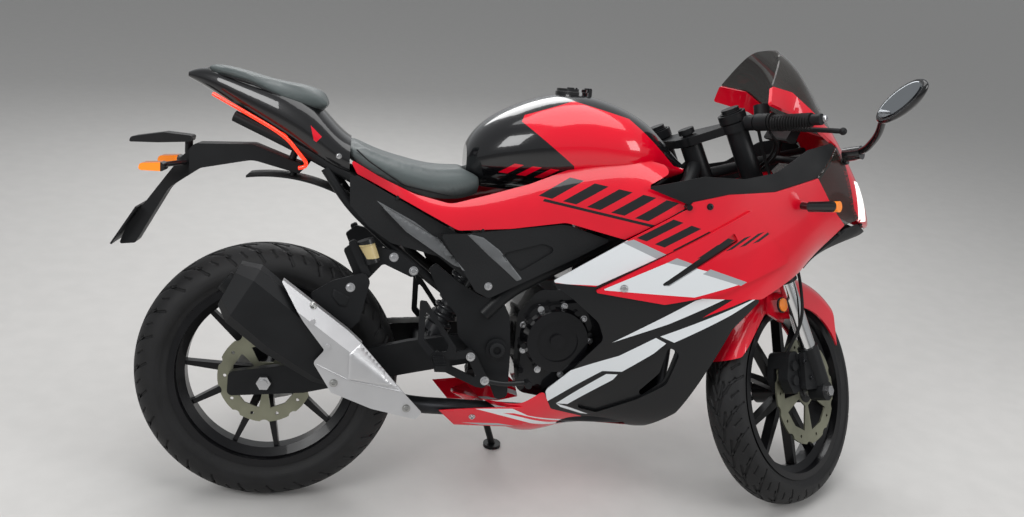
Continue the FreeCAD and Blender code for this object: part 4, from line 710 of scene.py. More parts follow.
LOWER_PAINT = Livery("lower_paint", Tone.CHARCOAL, (
    Patch(Tone.WHITE, ((809, 456), (938, 509), (1114, 597), (1124, 613), (995, 569))),
    Patch(Tone.RED, ((1020, 529), (1164, 586), (1161, 613), (1128, 598))),
    Patch(Tone.WHITE, ((922, 477), (958, 463), (1092, 536), (1168, 584), (1020, 520))),
    Patch(Tone.WHITE, ((661, 328), (670, 296), (796, 380), (830, 422), (721, 382))),
    Patch(Tone.WHITE, ((796, 380), (844, 380), (912, 432), (939, 460), (912, 473), (830, 422))),
    Patch(Tone.WHITE, ((694, 289), (725, 285), (826, 357), (835, 372), (807, 372))),
    Patch(Tone.WHITE, ((694, 289), (708, 277), (765, 254), (786, 251), (724, 278))),
), roughness=0.42, coat=0.15)
BELLY_PAINT = Livery("belly_paint", Tone.RED, (
    Patch(Tone.WHITE, ((499, 269), (643, 228), (629, 253), (589, 272))),
    Patch(Tone.WHITE, ((629, 253), (640, 228), (705, 218), (833, 212))),
    Patch(Tone.RED, ((568, 258), (687, 229), (784, 216), (594, 258))),
    Patch(Tone.PALE_GREY, ((470, 226), (520, 220), (600, 219), (560, 226))),
))
TANK_PAINT = Livery("tank_paint", Tone.INK, (
    Patch(Tone.RED, ((565, 958), (700, 857), (958, 872), (817, 981), (686, 1013), (572, 973))),
    Patch(Tone.RED, ((690, 866), (720, 760), (1060, 760), (1060, 850), (958, 873))),
    *slashes(Tone.RED, (520, 836), (42, -3), 3, 0.5, (34, 24)),
), roughness=0.22)
TAIL_PAINT = Livery("tail_paint", Tone.INK, (
    Patch(Tone.RED, ((84, 917), (110, 893), (98, 880), (92, 884))),
))
CONTROL_PAINT = Livery("control_paint", Tone.CHARCOAL, (
    Patch(Tone.CREAM, ((224, 626), (262, 630), (246, 664), (204, 656))),
), roughness=0.4, coat=0.2)
INDICATOR_PAINT = Livery("indicator_paint", Tone.INK, (
    Patch(Tone.AMBER, ((-300, 780), (-238, 780), (-238, 822), (-300, 822)), glow=0.5),
    Patch(Tone.AMBER, ((1291, 790), (1340, 790), (1340, 850), (1291, 850)), glow=0.3),
))

NODE_FINISHES = (
    (REAR_RUBBER, "rear_tyre"), (FRONT_RUBBER, "front_tyre"), (WHEEL_BLACK, "rear_rim front_rim"),
    (DISC_STEEL, "rear_disc front_disc"), (BARE_STEEL, "rear_sprocket"), (CHAIN_STEEL, "chain"),
    (SATIN_BLACK, "frame swingarm fairing_stays fork_outers handlebars side_stand"),
    (CAST_BLACK, "rear_caliper front_caliper footrests fork_bottoms triple_clamps"),
    (MATT_PLASTIC, "undertray rear_fender nose_chin cockpit_trim dash_stay bar_controls"),
    (GLOSS_BLACK, "tank_cap mirrors"), (ENGINE_BLACK, "engine_block engine_covers"),
    (BOLT_SILVER, "through_bolts front_axle"), (CHROME, "fork_inners"), (SPRING_BLACK, "rear_shock"),
    (GRIP_RUBBER, "grips brake_hose"), (RADIATOR_FINS, "radiator"), (PIPE_BLACK, "exhaust_pipe"),
    (SILENCER_BLACK, "muffler"), (SHIELD_SATIN, "heat_shield"), (UPPER_PAINT, "upper_fairings"),
    (WING_PAINT, "wing_panels"), (LOWER_PAINT, "lower_fairings"), (BELLY_PAINT, "belly_pan"),
    (COVER_PAINT, "side_covers"), (GRAINED_PAD, "side_pads"), (TANK_PAINT, "fuel_tank"),
    (SEAT_VINYL, "rider_seat pillion_seat"), (TAIL_PAINT, "tail_cowl"), (TAIL_LAMP, "tail_light"),
    (INDICATOR_PAINT, "indicators"), (RED_PAINT, "nose_cowl"), (STEERED_RED, "front_fender"),
    (LENS, "headlights"), (SCREEN, "windscreen"), (CONTROL_PAINT, "foot_controls"),
)


@dataclass
class Wardrobe:
    """Materials made so far, one for each finish."""

    made: dict[str, bpy.types.Material] = field(default_factory=dict)

    def get(self, finish: Look) -> bpy.types.Material:
        """Material of a finish, made once.

        Args:
            finish: the finish.

        Returns:
            The material.
        """
        if finish.name not in self.made:
            self.made[finish.name] = finish.build()
        return self.made[finish.name]

    def dress_nodes(self) -> None:
        """Give every CAD node its finish."""
        finishes = {node: finish for finish, nodes in NODE_FINISHES for node in nodes.split()}
        for name, node in frame["nodes"].items():
            for slot in node.material_slots:
                slot.material = self.get(finishes[name])


WARDROBE = Wardrobe()


@dataclass
class Assembly:
    """What every sub-assembly shares: the body that it rides on and the steps that finish a piece.

    Sizes are in millimetres: outside is how far from the middle a surface is looked for, bead_step
    the way between a bead's points, and weld the gap across which a copied node's corners merge.
    """

    body: Body = Body.CHASSIS
    outside: float = 700.0
    bead_step: float = 14.0
    weld: float = 0.02

    @property
    def stance(self) -> Stance:
        """The upright bike's axes as the body carries them."""
        return STEERED if self.body in (Body.STEERING, Body.FRONT_WHEEL) else STILL

    def hold(self, item: bpy.types.Object) -> None:
        """Select one object alone and make it the active one.

        Args:
            item: the object.
        """
        bpy.ops.object.select_all(action="DESELECT")
        item.select_set(True)
        bpy.context.view_layer.objects.active = item

    def settle(self, item: bpy.types.Object, name: str, finish: Look,
               crease: float = 35.0) -> bpy.types.Object:
        """Put the piece's place into its mesh, name it, dress it and let it ride.

        Args:
            item: the piece.
            name: its plain name.
            finish: its finish.
            crease: angle in degrees past which an edge stays sharp.

        Returns:
            The piece.
        """
        self.hold(item)
        bpy.ops.object.transform_apply(location=True, rotation=True, scale=True)
        bpy.ops.object.shade_smooth_by_angle(angle=math.radians(crease))
        item.name = item.data.name = name
        item.data.materials.clear()
        item.data.materials.append(WARDROBE.get(finish))
        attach(item, self.body.value)
        log.info("%s: %d faces", name, len(item.data.polygons))
        return item

    def merged(self, items: list[bpy.types.Object]) -> bpy.types.Object:
        """Join pieces into one.

        Args:
            items: the pieces, one or more.

        Returns:
            The joined piece.
        """
        self.hold(items[0])
        for item in items:
            item.select_set(True)
        if len(items) > 1:
            bpy.ops.object.join()
        return bpy.context.object

    def settle_all(self, items: list[bpy.types.Object | None], name: str, finish: Look,
                   crease: float = 35.0) -> bpy.types.Object | None:
        """Join the pieces that were made and settle them as one.

        Args:
            items: the pieces, with nothing where one was missed.
            name: their plain name.
            finish: their finish.
            crease: angle in degrees past which an edge stays sharp.

        Returns:
            The joined piece, or nothing where all were missed.
        """
        made = [item for item in items if item]
        return self.settle(self.merged(made), name, finish, crease) if made else None

    def modified(self, item: bpy.types.Object, kind: str, **values: object) -> None:
        """Put a modifier on a piece and apply it.

        Args:
            item: the piece.
            kind: the modifier's type.
            values: its properties.
        """
        modifier = item.modifiers.new(kind, kind)
        for name, value in values.items():
            setattr(modifier, name, value)
        self.hold(item)
        bpy.ops.object.modifier_apply(modifier=modifier.name)

    def rounded(self, offset: float) -> bpy.types.Object:
        """Round all edges of the active piece.

        Args:
            offset: width of the rounding in the piece's own units.

        Returns:
            The piece.
        """
        bpy.ops.object.mode_set(mode="EDIT")
        bpy.ops.mesh.select_all(action="SELECT")
        bpy.ops.mesh.bevel(offset=offset, segments=2)
        bpy.ops.object.mode_set(mode="OBJECT")
        return bpy.context.object

    def copied(self, item: bpy.types.Object, matrix: Matrix) -> bpy.types.Object:
        """Copy of a template with its own mesh, put in place.

        Args:
            item: the template.
            matrix: its new place.

        Returns:
            The copy.
        """
        mesh = item.data.copy()
        mesh.transform(matrix)
        return linked(item.name, mesh)

    def node_copy(self, node: str) -> bpy.types.Object:
        """Copy of a CAD node's mesh with its loose triangles merged.

        Args:
            node: the node's name.

        Returns:
            The copy as an object of its own.
        """
        copy = linked(node + "_copy", frame["nodes"][node].data.copy())
        self.hold(copy)
        bpy.ops.object.mode_set(mode="EDIT")
        bpy.ops.mesh.select_all(action="SELECT")
        bpy.ops.mesh.remove_doubles(threshold=self.weld * MM)
        bpy.ops.object.mode_set(mode="OBJECT")
        return copy

    def touch(self, node: str, x: float, z: float, side: int) -> tuple[Vector, Vector] | None:
        """Where a level line across the bike first meets a node.

        Args:
            node: the node's name, or that of a piece made before.
            x: place along the upright bike, in millimetres.
            z: height on the upright bike, in millimetres.
            side: 1 from the left, -1 from the right.

        Returns:
            The place and the surface's normal, or nothing where the line misses.
        """
        start = self.stance.at(x, side * self.outside, z)
        surface = frame["nodes"].get(node) or bpy.data.objects[node]
        hit, place, normal, _ = surface.ray_cast(start, self.stance.way(0, -side, 0))
        if not hit:
            log.warning("no surface of %s at %.0f, %.0f", node, x, z)
            return None
        return place, normal

    def tube(self, points: list[Vector], radius: float, sides: int = 3) -> bpy.types.Object:
        """Round tube along a smooth line.

        Args:
            points: control points in the world.
            radius: the tube's radius in metres.
            sides: fineness of its section.

        Returns:
            The tube as a mesh object.
        """
        curve = bpy.data.curves.new("line", "CURVE")
        curve.dimensions = "3D"
        curve.bevel_depth = radius
        curve.bevel_resolution = sides
        curve.use_fill_caps = True
        line = curve.splines.new("NURBS")
        line.points.add(len(points) - 1)
        for spot, point in zip(line.points, points):
            spot.co = (*point, 1.0)
        line.order_u = 3
        line.use_endpoint_u = True
        line.resolution_u = 6
        self.hold(linked("line", curve))
        bpy.ops.object.convert(target="MESH")
        return bpy.context.object

    def bead(self, node: str, line: tuple[tuple[float, float], ...], side: int, radius: float,
             lift: float = 0.0) -> bpy.types.Object | None:
        """Thin round bead that follows a line drawn in the side view on a node's surface.

        Args:
            node: the node that carries it.
            line: corners of the line in millimetres.
            side: 1 on the left, -1 on the right.
            radius: its radius in millimetres.
            lift: how far its middle stands off the surface, in millimetres.

        Returns:
            The bead, or nothing where the line misses the node.
        """
        spots = []
        for (x, z), (next_x, next_z) in zip(line, line[1:]):
            steps = max(2, int(math.hypot(next_x - x, next_z - z) / self.bead_step))
            for step in range(steps + (line[-1] == (next_x, next_z))):
                share = step / steps
                found = self.touch(node, x + (next_x - x) * share, z + (next_z - z) * share, side)
                if found:
                    spots.append(found[0] + found[1] * lift * MM)
        return self.tube(spots, radius * MM, sides=2) if len(spots) > 2 else None


class Head(Enum):
    """Kinds of bolt head: the number of their sides, and the wall and depth of the hollow on top."""

    HEX = (6, 0.16, 0.06)
    SOCKET = (16, 0.3, 0.4)


@dataclass(frozen=True)
class Row:
    """Bolts of one piece: what carries them and where they are, in millimetres."""

    name: str
    node: str
    spots: tuple[tuple[float, float], ...]
    radius: float = 6.0
    head: Head = Head.SOCKET
    finish: Finish = BOLT_SILVER
    sides: tuple[int, ...] = (1, -1)
    body: Body = Body.CHASSIS


@dataclass
class Fasteners(Assembly):
    """Bolts and screws that show on the panels and castings.

    The sizes of a head are shares of its radius.
    """

    rows: tuple[Row, ...] = ()
    height: float = 0.9
    chamfer: float = 0.18
    collar: float = 1.35
    collar_height: float = 0.3

    def build(self) -> None:
        """Model one bolt of each kind and put its copies in place."""
        heads = {head: self.head(head) for head in Head}
        for row in self.rows:
            self.body = row.body
            grow = Matrix.Scale(row.radius * MM, 4)
            placed = []
            for side in row.sides:
                for x, z in row.spots:
                    found = self.touch(row.node, x, z, side)
                    if found:
                        place, normal = found
                        seat = Matrix.Translation(place) @ facing(normal) @ grow
                        placed.append(self.copied(heads[row.head], seat))
            self.settle_all(placed, row.name, row.finish)
        for item in heads.values():
            bpy.data.objects.remove(item)

    def head(self, head: Head) -> bpy.types.Object:
        """Bolt head of radius one with its washer and its socket.

        Args:
            head: its kind.

        Returns:
            The template.
        """
        sides, wall, depth = head.value
        bpy.ops.mesh.primitive_cylinder_add(vertices=sides, radius=1, depth=self.height,
                                            location=(0, 0, 0.35))
        item = bpy.context.object
        bpy.ops.object.transform_apply(location=True)
        bpy.ops.object.mode_set(mode="EDIT")
        self.pick(item, 1)
        bpy.ops.mesh.bevel(offset=self.chamfer, segments=2)
        self.pick(item, 1)
        bpy.ops.mesh.inset(thickness=wall)
        bpy.ops.mesh.extrude_region_move(TRANSFORM_OT_translate={"value": (0, 0, -depth)})
        self.pick(item, -1)
        bpy.ops.mesh.inset(thickness=0.02)
        bpy.ops.mesh.select_all(action="DESELECT")
        bpy.ops.mesh.primitive_cylinder_add(vertices=16, radius=self.collar, depth=self.collar_height,
                                            location=(0, 0, -0.03))
        bpy.ops.object.mode_set(mode="OBJECT")
        return item

    def pick(self, item: bpy.types.Object, way: int) -> None:
        """Select the faces at one end of the head alone.

        Args:
            item: the head.
            way: 1 for the upper end, -1 for the lower.
        """
        bpy.ops.mesh.select_mode(type="FACE")
        bpy.ops.mesh.select_all(action="DESELECT")
        mesh = bmesh.from_edit_mesh(item.data)
        faces = [face for face in mesh.faces if face.normal.z * way > 0.99]
        end = max(face.calc_center_median().z * way for face in faces)
        for face in faces:
            if face.calc_center_median().z * way > end - 0.01:
                face.select_set(True)
        bmesh.update_edit_mesh(item.data)


@dataclass(frozen=True)
class Groove:
    """Tread groove: its place across the crown and round the tyre in degrees, and its size."""

    roll: float
    turn: float
    lean: float
    length: float
    width: float


@dataclass
class Tread(Assembly):
    """Road tread cut into a tyre."""

    node: str = "rear_tyre"
    finish: Look = REAR_RUBBER
    axle: tuple[float, float] = REAR_AXLE
    radius: float = REAR_AXLE[1]
    crown: float = 62.0
    pitches: int = 26
    strip_thickness: float = 7.0
    clearance: float = 25.0
    grooves: tuple[Groove, ...] = (
        Groove(10, 0, 14, 84, 6.5),
        Groove(32, 5, 38, 66, 6.5),
        Groove(56, 9.5, 58, 44, 6.0),
        Groove(50, 2, 52, 26, 5.0),
    )

    def build(self) -> None:
        """Cut the grooves of every pitch out of a copy of the tyre."""
        tyre = self.node_copy(self.node)
        pitch = [self.cutter(tyre, groove, side, side < 0) for side in (1, -1) for groove in self.grooves]
        first = self.merged(pitch)
        middle = self.stance.at(self.axle[0], 0, self.axle[1])
        cutters = []
        for index in range(self.pitches):
            turn = Matrix.Rotation(2 * math.pi * index / self.pitches, 4, self.stance.left)
            place = Matrix.Translation(middle) @ turn @ Matrix.Translation(-middle)
            cutters.append(self.copied(first, place))
        bpy.data.objects.remove(first)
        tool = self.merged(cutters)
        self.modified(tyre, "BOOLEAN", operation="DIFFERENCE", solver="MANIFOLD", object=tool)
        bpy.data.objects.remove(tool)
        self.settle(tyre, self.node + "_tread", self.finish, crease=28.0)
        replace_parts(tyre, self.node)

    def cutter(self, tyre: bpy.types.Object, groove: Groove, side: int, odd: bool) -> bpy.types.Object:
        """Strip that follows the crown, as thick as two grooves are deep.

        Args:
            tyre: the tyre's copy.
            groove: the groove.
            side: 1 on the left, -1 on the right.
            odd: moved on by half a pitch.

        Returns:
            The cutter.
        """
        bpy.ops.mesh.primitive_grid_add(x_subdivisions=10, y_subdivisions=2, size=1)
        strip = bpy.context.object
        stretch = Matrix.Diagonal((groove.length * MM, groove.width * MM, 1, 1))
        strip.data.transform(Matrix.Rotation(math.radians(groove.lean * side), 4, "Z") @ stretch)
        half_pitch = 180.0 / self.pitches if odd else 0.0
        spin = Matrix.Rotation(math.radians(groove.turn + half_pitch), 3, self.stance.left)
        out = spin @ self.stance.forward
        roll = math.radians(groove.roll)
        normal = out * math.cos(roll) + self.stance.left * math.sin(roll) * side
        centre = self.stance.at(self.axle[0], 0, self.axle[1]) + out * (self.radius - self.crown) * MM
        along = self.stance.left.cross(out)
        across = normal.cross(along)
        place = Matrix.Translation(centre + normal * (self.crown + self.clearance) * MM)
        strip.matrix_world = place @ axes_turn(along, across, normal)
        bpy.context.view_layer.update()
        self.modified(strip, "SHRINKWRAP", wrap_method="PROJECT", use_project_z=True,
                      use_negative_direction=True, target=tyre)
        self.modified(strip, "SOLIDIFY", thickness=self.strip_thickness * MM, offset=0)
        bpy.ops.object.transform_apply(location=True, rotation=True, scale=True)
        return strip


@dataclass
class Seat(Assembly):
    """Vinyl seat that swells over its foam, with a piped seam along each side."""

    node: str = "rider_seat"
    seam: tuple[tuple[float, float], ...] = ()
    voxel: float = 5.0
    swell: float = 4.0
    pressure: float = 4.0
    frames: int = 16
    pipe: float = 1.8

    def build(self) -> None:
        """Make the pad and its piping."""
        pad = self.node_copy(self.node)
        self.modified(pad, "REMESH", mode="VOXEL", voxel_size=self.voxel * MM)
        self.modified(pad, "SMOOTH", factor=0.5, iterations=6)
        self.inflate(pad)
        self.modified(pad, "SUBSURF", levels=1, render_levels=1)
        self.settle(pad, self.node + "_pad", SEAT_VINYL, ROUND_CREASE)
        pipes = [self.bead(self.node, self.seam, side, self.pipe, self.pipe / 3) for side in (1, -1)]
        self.settle_all(pipes, self.node + "_piping", PIPING, ROUND_CREASE)
        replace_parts(pad, self.node)

    def inflate(self, pad: bpy.types.Object) -> None:
        """Swell the pad as cloth under pressure, and cap how far each point moves.

        Args:
            pad: the pad's object.
        """
        rest = [vertex.co.copy() for vertex in pad.data.vertices]
        cloth = pad.modifiers.new("cloth", "CLOTH")
        cloth.settings.use_pressure = True
        cloth.settings.uniform_pressure_force = self.pressure
        cloth.settings.effector_weights.gravity = 0
        scene = bpy.context.scene
        for number in range(1, self.frames + 1):
            scene.frame_set(number)
        found = pad.evaluated_get(bpy.context.evaluated_depsgraph_get())
        moved = [vertex.co.copy() for vertex in found.data.vertices]
        pad.modifiers.remove(cloth)
        scene.frame_set(1)
        limit = self.swell * MM
        for vertex, here, there in zip(pad.data.vertices, rest, moved):
            way = there - here
            vertex.co = here + way * min(1.0, limit / max(way.length, 1e-9))


@dataclass
class Mirrors(Assembly):
    """Mirror glasses in the mirrors' shells."""

    middle: tuple[float, float, float] = (1384, -308, 1068)
    long_way: tuple[float, float, float] = (0.35, -0.7, 0.6)
    back: tuple[float, float, float] = (-0.95, 0.0, 0.2)
    half_long: float = 62.0
    half_short: float = 27.0
    thickness: float = 3.0
    stand: float = 1.2

    def build(self) -> None:
        """Make a glass for each mirror."""
        glasses = []
        for side in (-1, 1):
            flip = Vector((1, -side, 1))
            long_way = (Vector(self.long_way) * flip).normalized()
            short_way = (Vector(self.back) * flip).cross(long_way).normalized()
            face = long_way.cross(short_way).normalized()
            if face.x > 0:
                face = -face
            bpy.ops.mesh.primitive_cylinder_add(vertices=48, radius=1, depth=1)
            glass = self.rounded(0.04)
            turn = axes_turn(*(self.stance.way(*axis) for axis in (long_way, face.cross(long_way), face)))
            size = Matrix.Diagonal((self.half_long * MM, self.half_short * MM, self.thickness * MM, 1))
            spot = Vector(self.middle) * flip + face * self.stand
            glass.data.transform(Matrix.Translation(self.stance.at(*spot)) @ turn @ size)
            glasses.append(glass)
        self.settle_all(glasses, "mirror_glasses", MIRROR)


@dataclass(frozen=True)
class Plate:
    """Thin plate: its convex outline in the side view, in millimetres, and the panel that it lies on.

    Where slope is given, the plate stands free of panels: its distance from the middle at
    a height, how much that grows for each millimetre up, and that height.
    """

    name: str
    node: str
    corners: tuple[tuple[float, float], ...]
    finish: Look
    thickness: float = 3.0
    slope: tuple[float, float, float] | None = None
    sides: tuple[int, ...] = (1, -1)


@dataclass
class Overlays(Assembly):
    """Plates and lenses let into the panels, which follow the surface that carries them."""

    plates: tuple[Plate, ...] = ()
    cell: float = 8.0
    edge: float = 0.6
    aside: float = 600.0
    unmoved: float = 0.01

    def build(self) -> None:
        """Make every plate on both sides."""
        for plate in self.plates:
            pair = [self.laid(plate, side) for side in plate.sides]
            self.settle_all(pair, plate.name, plate.finish, crease=50.0)

    def laid(self, plate: Plate, side: int) -> bpy.types.Object:
        """Plate cut to its outline, pressed onto its panel and given its thickness.

        Args:
            plate: the plate.
            side: 1 on the left, -1 on the right.

        Returns:
            The plate as an object.
        """
        spots = [Vector((x * MM, z * MM, 0)) for x, z in plate.corners]
        middle = sum(spots, Vector()) / len(spots)
        reach = max((spot - middle).length for spot in spots)
        cells = max(6, int(2 * reach / (self.cell * MM)))
        bpy.ops.mesh.primitive_grid_add(x_subdivisions=cells, y_subdivisions=cells, size=2 * reach,
                                        location=middle)
        item = bpy.context.object
        bpy.ops.object.transform_apply(location=True)
        bpy.ops.object.mode_set(mode="EDIT")
        for here, after in zip(spots, spots[1:] + spots[:1]):
            along = after - here
            outward = Vector((along.y, -along.x, 0)).normalized()
            if outward.dot(middle - here) > 0:
                outward = -outward
            bpy.ops.mesh.select_all(action="SELECT")
            bpy.ops.mesh.bisect(plane_co=here, plane_no=outward, clear_outer=True)
        bpy.ops.object.mode_set(mode="OBJECT")
        turn = axes_turn(self.stance.forward, self.stance.up, self.stance.forward.cross(self.stance.up))
        item.matrix_world = Matrix.Translation(self.stance.at(0, side * self.aside, 0)) @ turn
        bpy.context.view_layer.update()
        if plate.slope:
            distance, rate, base = plate.slope
            for vertex in item.data.vertices:
                out = distance + rate * (vertex.co.y / MM - base)
                vertex.co.z = side * (self.aside - out) * MM
        else:
            self.modified(item, "SHRINKWRAP", wrap_method="PROJECT", use_project_z=True,
                          use_positive_direction=side > 0, use_negative_direction=side < 0,
                          target=frame["nodes"][plate.node])
            self.drop_missed(item)
        self.modified(item, "SOLIDIFY", thickness=plate.thickness * MM, offset=0)
        self.modified(item, "BEVEL", width=self.edge * MM, segments=1, limit_method="ANGLE")
        bpy.ops.object.transform_apply(location=True, rotation=True, scale=True)
        return item

    def drop_missed(self, item: bpy.types.Object) -> None:
        """Delete the points of a plate that found no panel and so never moved.

        Args:
            item: the plate, still thin.
        """
        bpy.ops.object.mode_set(mode="EDIT")
        bpy.ops.mesh.select_mode(type="VERT")
        bpy.ops.mesh.select_all(action="DESELECT")
        mesh = bmesh.from_edit_mesh(item.data)
        for vertex in mesh.verts:
            vertex.select_set(abs(vertex.co.z) < self.unmoved * MM)
        bmesh.update_edit_mesh(item.data)
        bpy.ops.mesh.delete(type="VERT")
        bpy.ops.object.mode_set(mode="OBJECT")


@dataclass
class Chain(Assembly):
    """Drive chain of plates and rollers that replaces the plain loop."""

    line: float = 84.0
    near: tuple[float, float] = REAR_AXLE
    near_radius: float = 93.0
    far: tuple[float, float] = (625.0, 412.0)
    far_radius: float = 38.0
    pitch: float = 15.875
    plate_height: float = 12.0
    plate_thickness: float = 1.5
    plate_overhang: float = 8.0
    plate_corner: float = 3.6
    inner_plates: float = 5.1
    outer_plates: float = 6.9
    roller: float = 4.6

    def build(self) -> None:
        """Model the two kinds of link and lay their copies along the chain's path."""
        length = self.length()
        count = 2 * round(length / self.pitch / 2)
        pins = [self.spot(length * index / count) for index in range(count)]
        kinds = (self.link(self.outer_plates), self.link(self.inner_plates))
        links = []
        for index, here in enumerate(pins):
            after = pins[(index + 1) % count]
            along = (after - here).normalized()
            turn = axes_turn(along, Vector((0, 1, 0)), along.cross(Vector((0, 1, 0))))
            place = self.stance.matrix() @ Matrix.Translation((here + after) / 2 * MM) @ turn
            links.append(self.copied(kinds[index % 2], place))
        for kind in kinds:
            bpy.data.objects.remove(kind)
        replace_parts(self.settle_all(links, "chain_links", CHAIN_STEEL), "chain")

    def angles(self) -> tuple[float, float]:
        """Angles at which the straight runs leave the sprockets.

        Returns:
            The upper run's angle and the lower one's.
        """
        across, rise = self.far[0] - self.near[0], self.far[1] - self.near[1]
        along = math.atan2(rise, across)
        turn = math.acos((self.near_radius - self.far_radius) / math.hypot(across, rise))
        return along + turn, along - turn

    def run(self) -> float:
        """Length of one straight run."""
        span = math.hypot(self.far[0] - self.near[0], self.far[1] - self.near[1])
        return math.sqrt(span ** 2 - (self.near_radius - self.far_radius) ** 2)

    def length(self) -> float:
        """Length of the whole loop.

        Returns:
            The length in millimetres.
        """
        high, low = self.angles()
        return (2 * self.run() + self.near_radius * (2 * math.pi - (high - low))
                + self.far_radius * (high - low))

    def rim(self, centre: tuple[float, float], radius: float, angle: float) -> Vector:
        """Point of a sprocket's pitch circle."""
        x, z = centre
        return Vector((x + radius * math.cos(angle), self.line, z + radius * math.sin(angle)))

    def spot(self, way: float) -> Vector:
        """Place of a pin.

        Args:
            way: distance along the loop from the start of the rear sprocket's arc.

        Returns:
            The place on the upright bike, in millimetres.
        """
        high, low = self.angles()
        near, far = (self.near, self.near_radius), (self.far, self.far_radius)
        rear = self.near_radius * (2 * math.pi - (high - low))
        front = self.far_radius * (high - low)
        if way < rear:
            return self.rim(*near, high + way / self.near_radius)
        way -= rear
        if way < self.run():
            return self.rim(*near, low).lerp(self.rim(*far, low), way / self.run())
        way -= self.run()
        if way < front:
            return self.rim(*far, low + way / self.far_radius)
        way -= front
        return self.rim(*far, high).lerp(self.rim(*near, high), way / self.run())

    def link(self, out: float) -> bpy.types.Object:
        """Link of two plates and a roller.

        Args:
            out: distance of a plate from the chain's middle.

        Returns:
            The template.
        """
        parts = []
        for side in (1, -1):
            bpy.ops.mesh.primitive_cube_add(size=1)
            plate = bpy.context.object
            stretch = (self.pitch + self.plate_overhang, self.plate_thickness, self.plate_height, 1 / MM)
            plate.data.transform(Matrix.Translation((0, side * out * MM, 0)) @ Matrix.Diagonal(stretch) * MM)
            bpy.ops.object.mode_set(mode="EDIT")
            bpy.ops.mesh.select_mode(type="EDGE")
            bpy.ops.mesh.select_all(action="DESELECT")
            mesh = bmesh.from_edit_mesh(plate.data)
            for edge in mesh.edges:
                ends = edge.verts[0].co - edge.verts[1].co
                edge.select_set(abs(ends.y) > 0.9 * ends.length)
            bmesh.update_edit_mesh(plate.data)
            bpy.ops.mesh.bevel(offset=self.plate_corner * MM, segments=1)
            bpy.ops.object.mode_set(mode="OBJECT")
            parts.append(plate)
        bpy.ops.mesh.primitive_cylinder_add(vertices=8, radius=self.roller * MM, depth=2 * out * MM,
                                            rotation=(math.pi / 2, 0, 0),
                                            location=(self.pitch / 2 * MM, 0, 0))
        parts.append(bpy.context.object)
        self.hold(bpy.context.object)
        bpy.ops.object.transform_apply(location=True, rotation=True, scale=True)
        return self.merged(parts)


@dataclass
class GripRibs(Assembly):
    """Rubber ribs round both grips."""

    inner: tuple[float, float, float] = (1016, 217, 935)
    outer: tuple[float, float, float] = (1036, 320, 921)
    radius: float = 16.5
    thickness: float = 1.3
    count: int = 14
    first: float = 0.14
    last: float = 0.94

    def build(self) -> None:
        """Model a rib and repeat it along the grips."""
        bpy.ops.mesh.primitive_torus_add(major_radius=self.radius * MM, minor_radius=self.thickness * MM,
                                         major_segments=28, minor_segments=6)
        rib = bpy.context.object
        ribs = []
        for side in (1, -1):
            flip = Vector((1, side, 1))
            start, end = (self.stance.at(*(Vector(spot) * flip)) for spot in (self.inner, self.outer))
            turn = facing(end - start)
            for index in range(self.count):
                share = self.first + (self.last - self.first) * index / (self.count - 1)
                ribs.append(self.copied(rib, Matrix.Translation(start.lerp(end, share)) @ turn))
        bpy.data.objects.remove(rib)
        self.settle_all(ribs, "grip_ribs", GRIP_RUBBER)


@dataclass(frozen=True)
class Trim:
    """Round ridge along a line on a panel, drawn in the side view in millimetres."""

    name: str
    node: str
    line: tuple[tuple[float, float], ...]
    radius: float
    finish: Look
    lift: float = 0.0
    sides: tuple[int, ...] = (1, -1)


@dataclass
class Trims(Assembly):
    """Ridges on the panels."""

    trims: tuple[Trim, ...] = ()

    def build(self) -> None:
        """Make every ridge."""
        for trim in self.trims:
            made = [self.bead(trim.node, trim.line, side, trim.radius, trim.lift) for side in trim.sides]
            self.settle_all(made, trim.name, trim.finish, ROUND_CREASE)


@dataclass
class Reflectors(Assembly):
    """Round amber reflectors on brackets behind the fork legs."""

    spot: tuple[float, float, float] = (1176, 122, 515)
    leg: tuple[float, float, float] = (1206, 112, 520)
    radius: float = 17.0
    lens_height: float = 5.0
    lens_lift: float = 4.0
    cup_rim: float = 2.5
    cup_height: float = 6.0
    bracket: float = 4.0

    def build(self) -> None:
        """Model one lens with its rim and its bracket for each side."""
        lenses, cups = [], []
        for side in (1, -1):
            x, y, z = self.spot
            place = Matrix.Translation(self.stance.at(x, y * side, z)) @ facing(self.stance.way(0, side, 0))
            front = place @ Matrix.Translation((0, 0, self.lens_lift * MM))
            lenses.append(self.disc(front, self.radius, self.lens_height))
            cups.append(self.disc(place, self.radius + self.cup_rim, self.cup_height))
            leg_x, leg_y, leg_z = self.leg
            cups.append(self.tube([self.stance.at(x, (y - 2) * side, z),
                                   self.stance.at((x + leg_x) / 2, (leg_y + 6) * side, z),
                                   self.stance.at(leg_x, leg_y * side, leg_z)], self.bracket * MM))
        self.settle_all(lenses, "reflector_lenses", REFLECTOR)
        self.settle_all(cups, "reflector_cups", MATT_PLASTIC)

    def disc(self, place: Matrix, radius: float, height: float) -> bpy.types.Object:
        """Disc with rounded edges.

        Args:
            place: its place and turn.
            radius: its radius in millimetres.
            height: its thickness in millimetres.

        Returns:
            The disc.
        """
        bpy.ops.mesh.primitive_cylinder_add(vertices=32, radius=radius * MM, depth=height * MM)
        item = self.rounded(height * 0.25 * MM)
        item.data.transform(place)
        return item


@dataclass(frozen=True)
class Line:
    """Cable, hose or lit strip between fixed ends, on the upright bike in millimetres."""

    name: str
    points: tuple[tuple[float, float, float], ...]
    radius: float
    finish: Look
    pair: bool = False
    body: Body = Body.CHASSIS


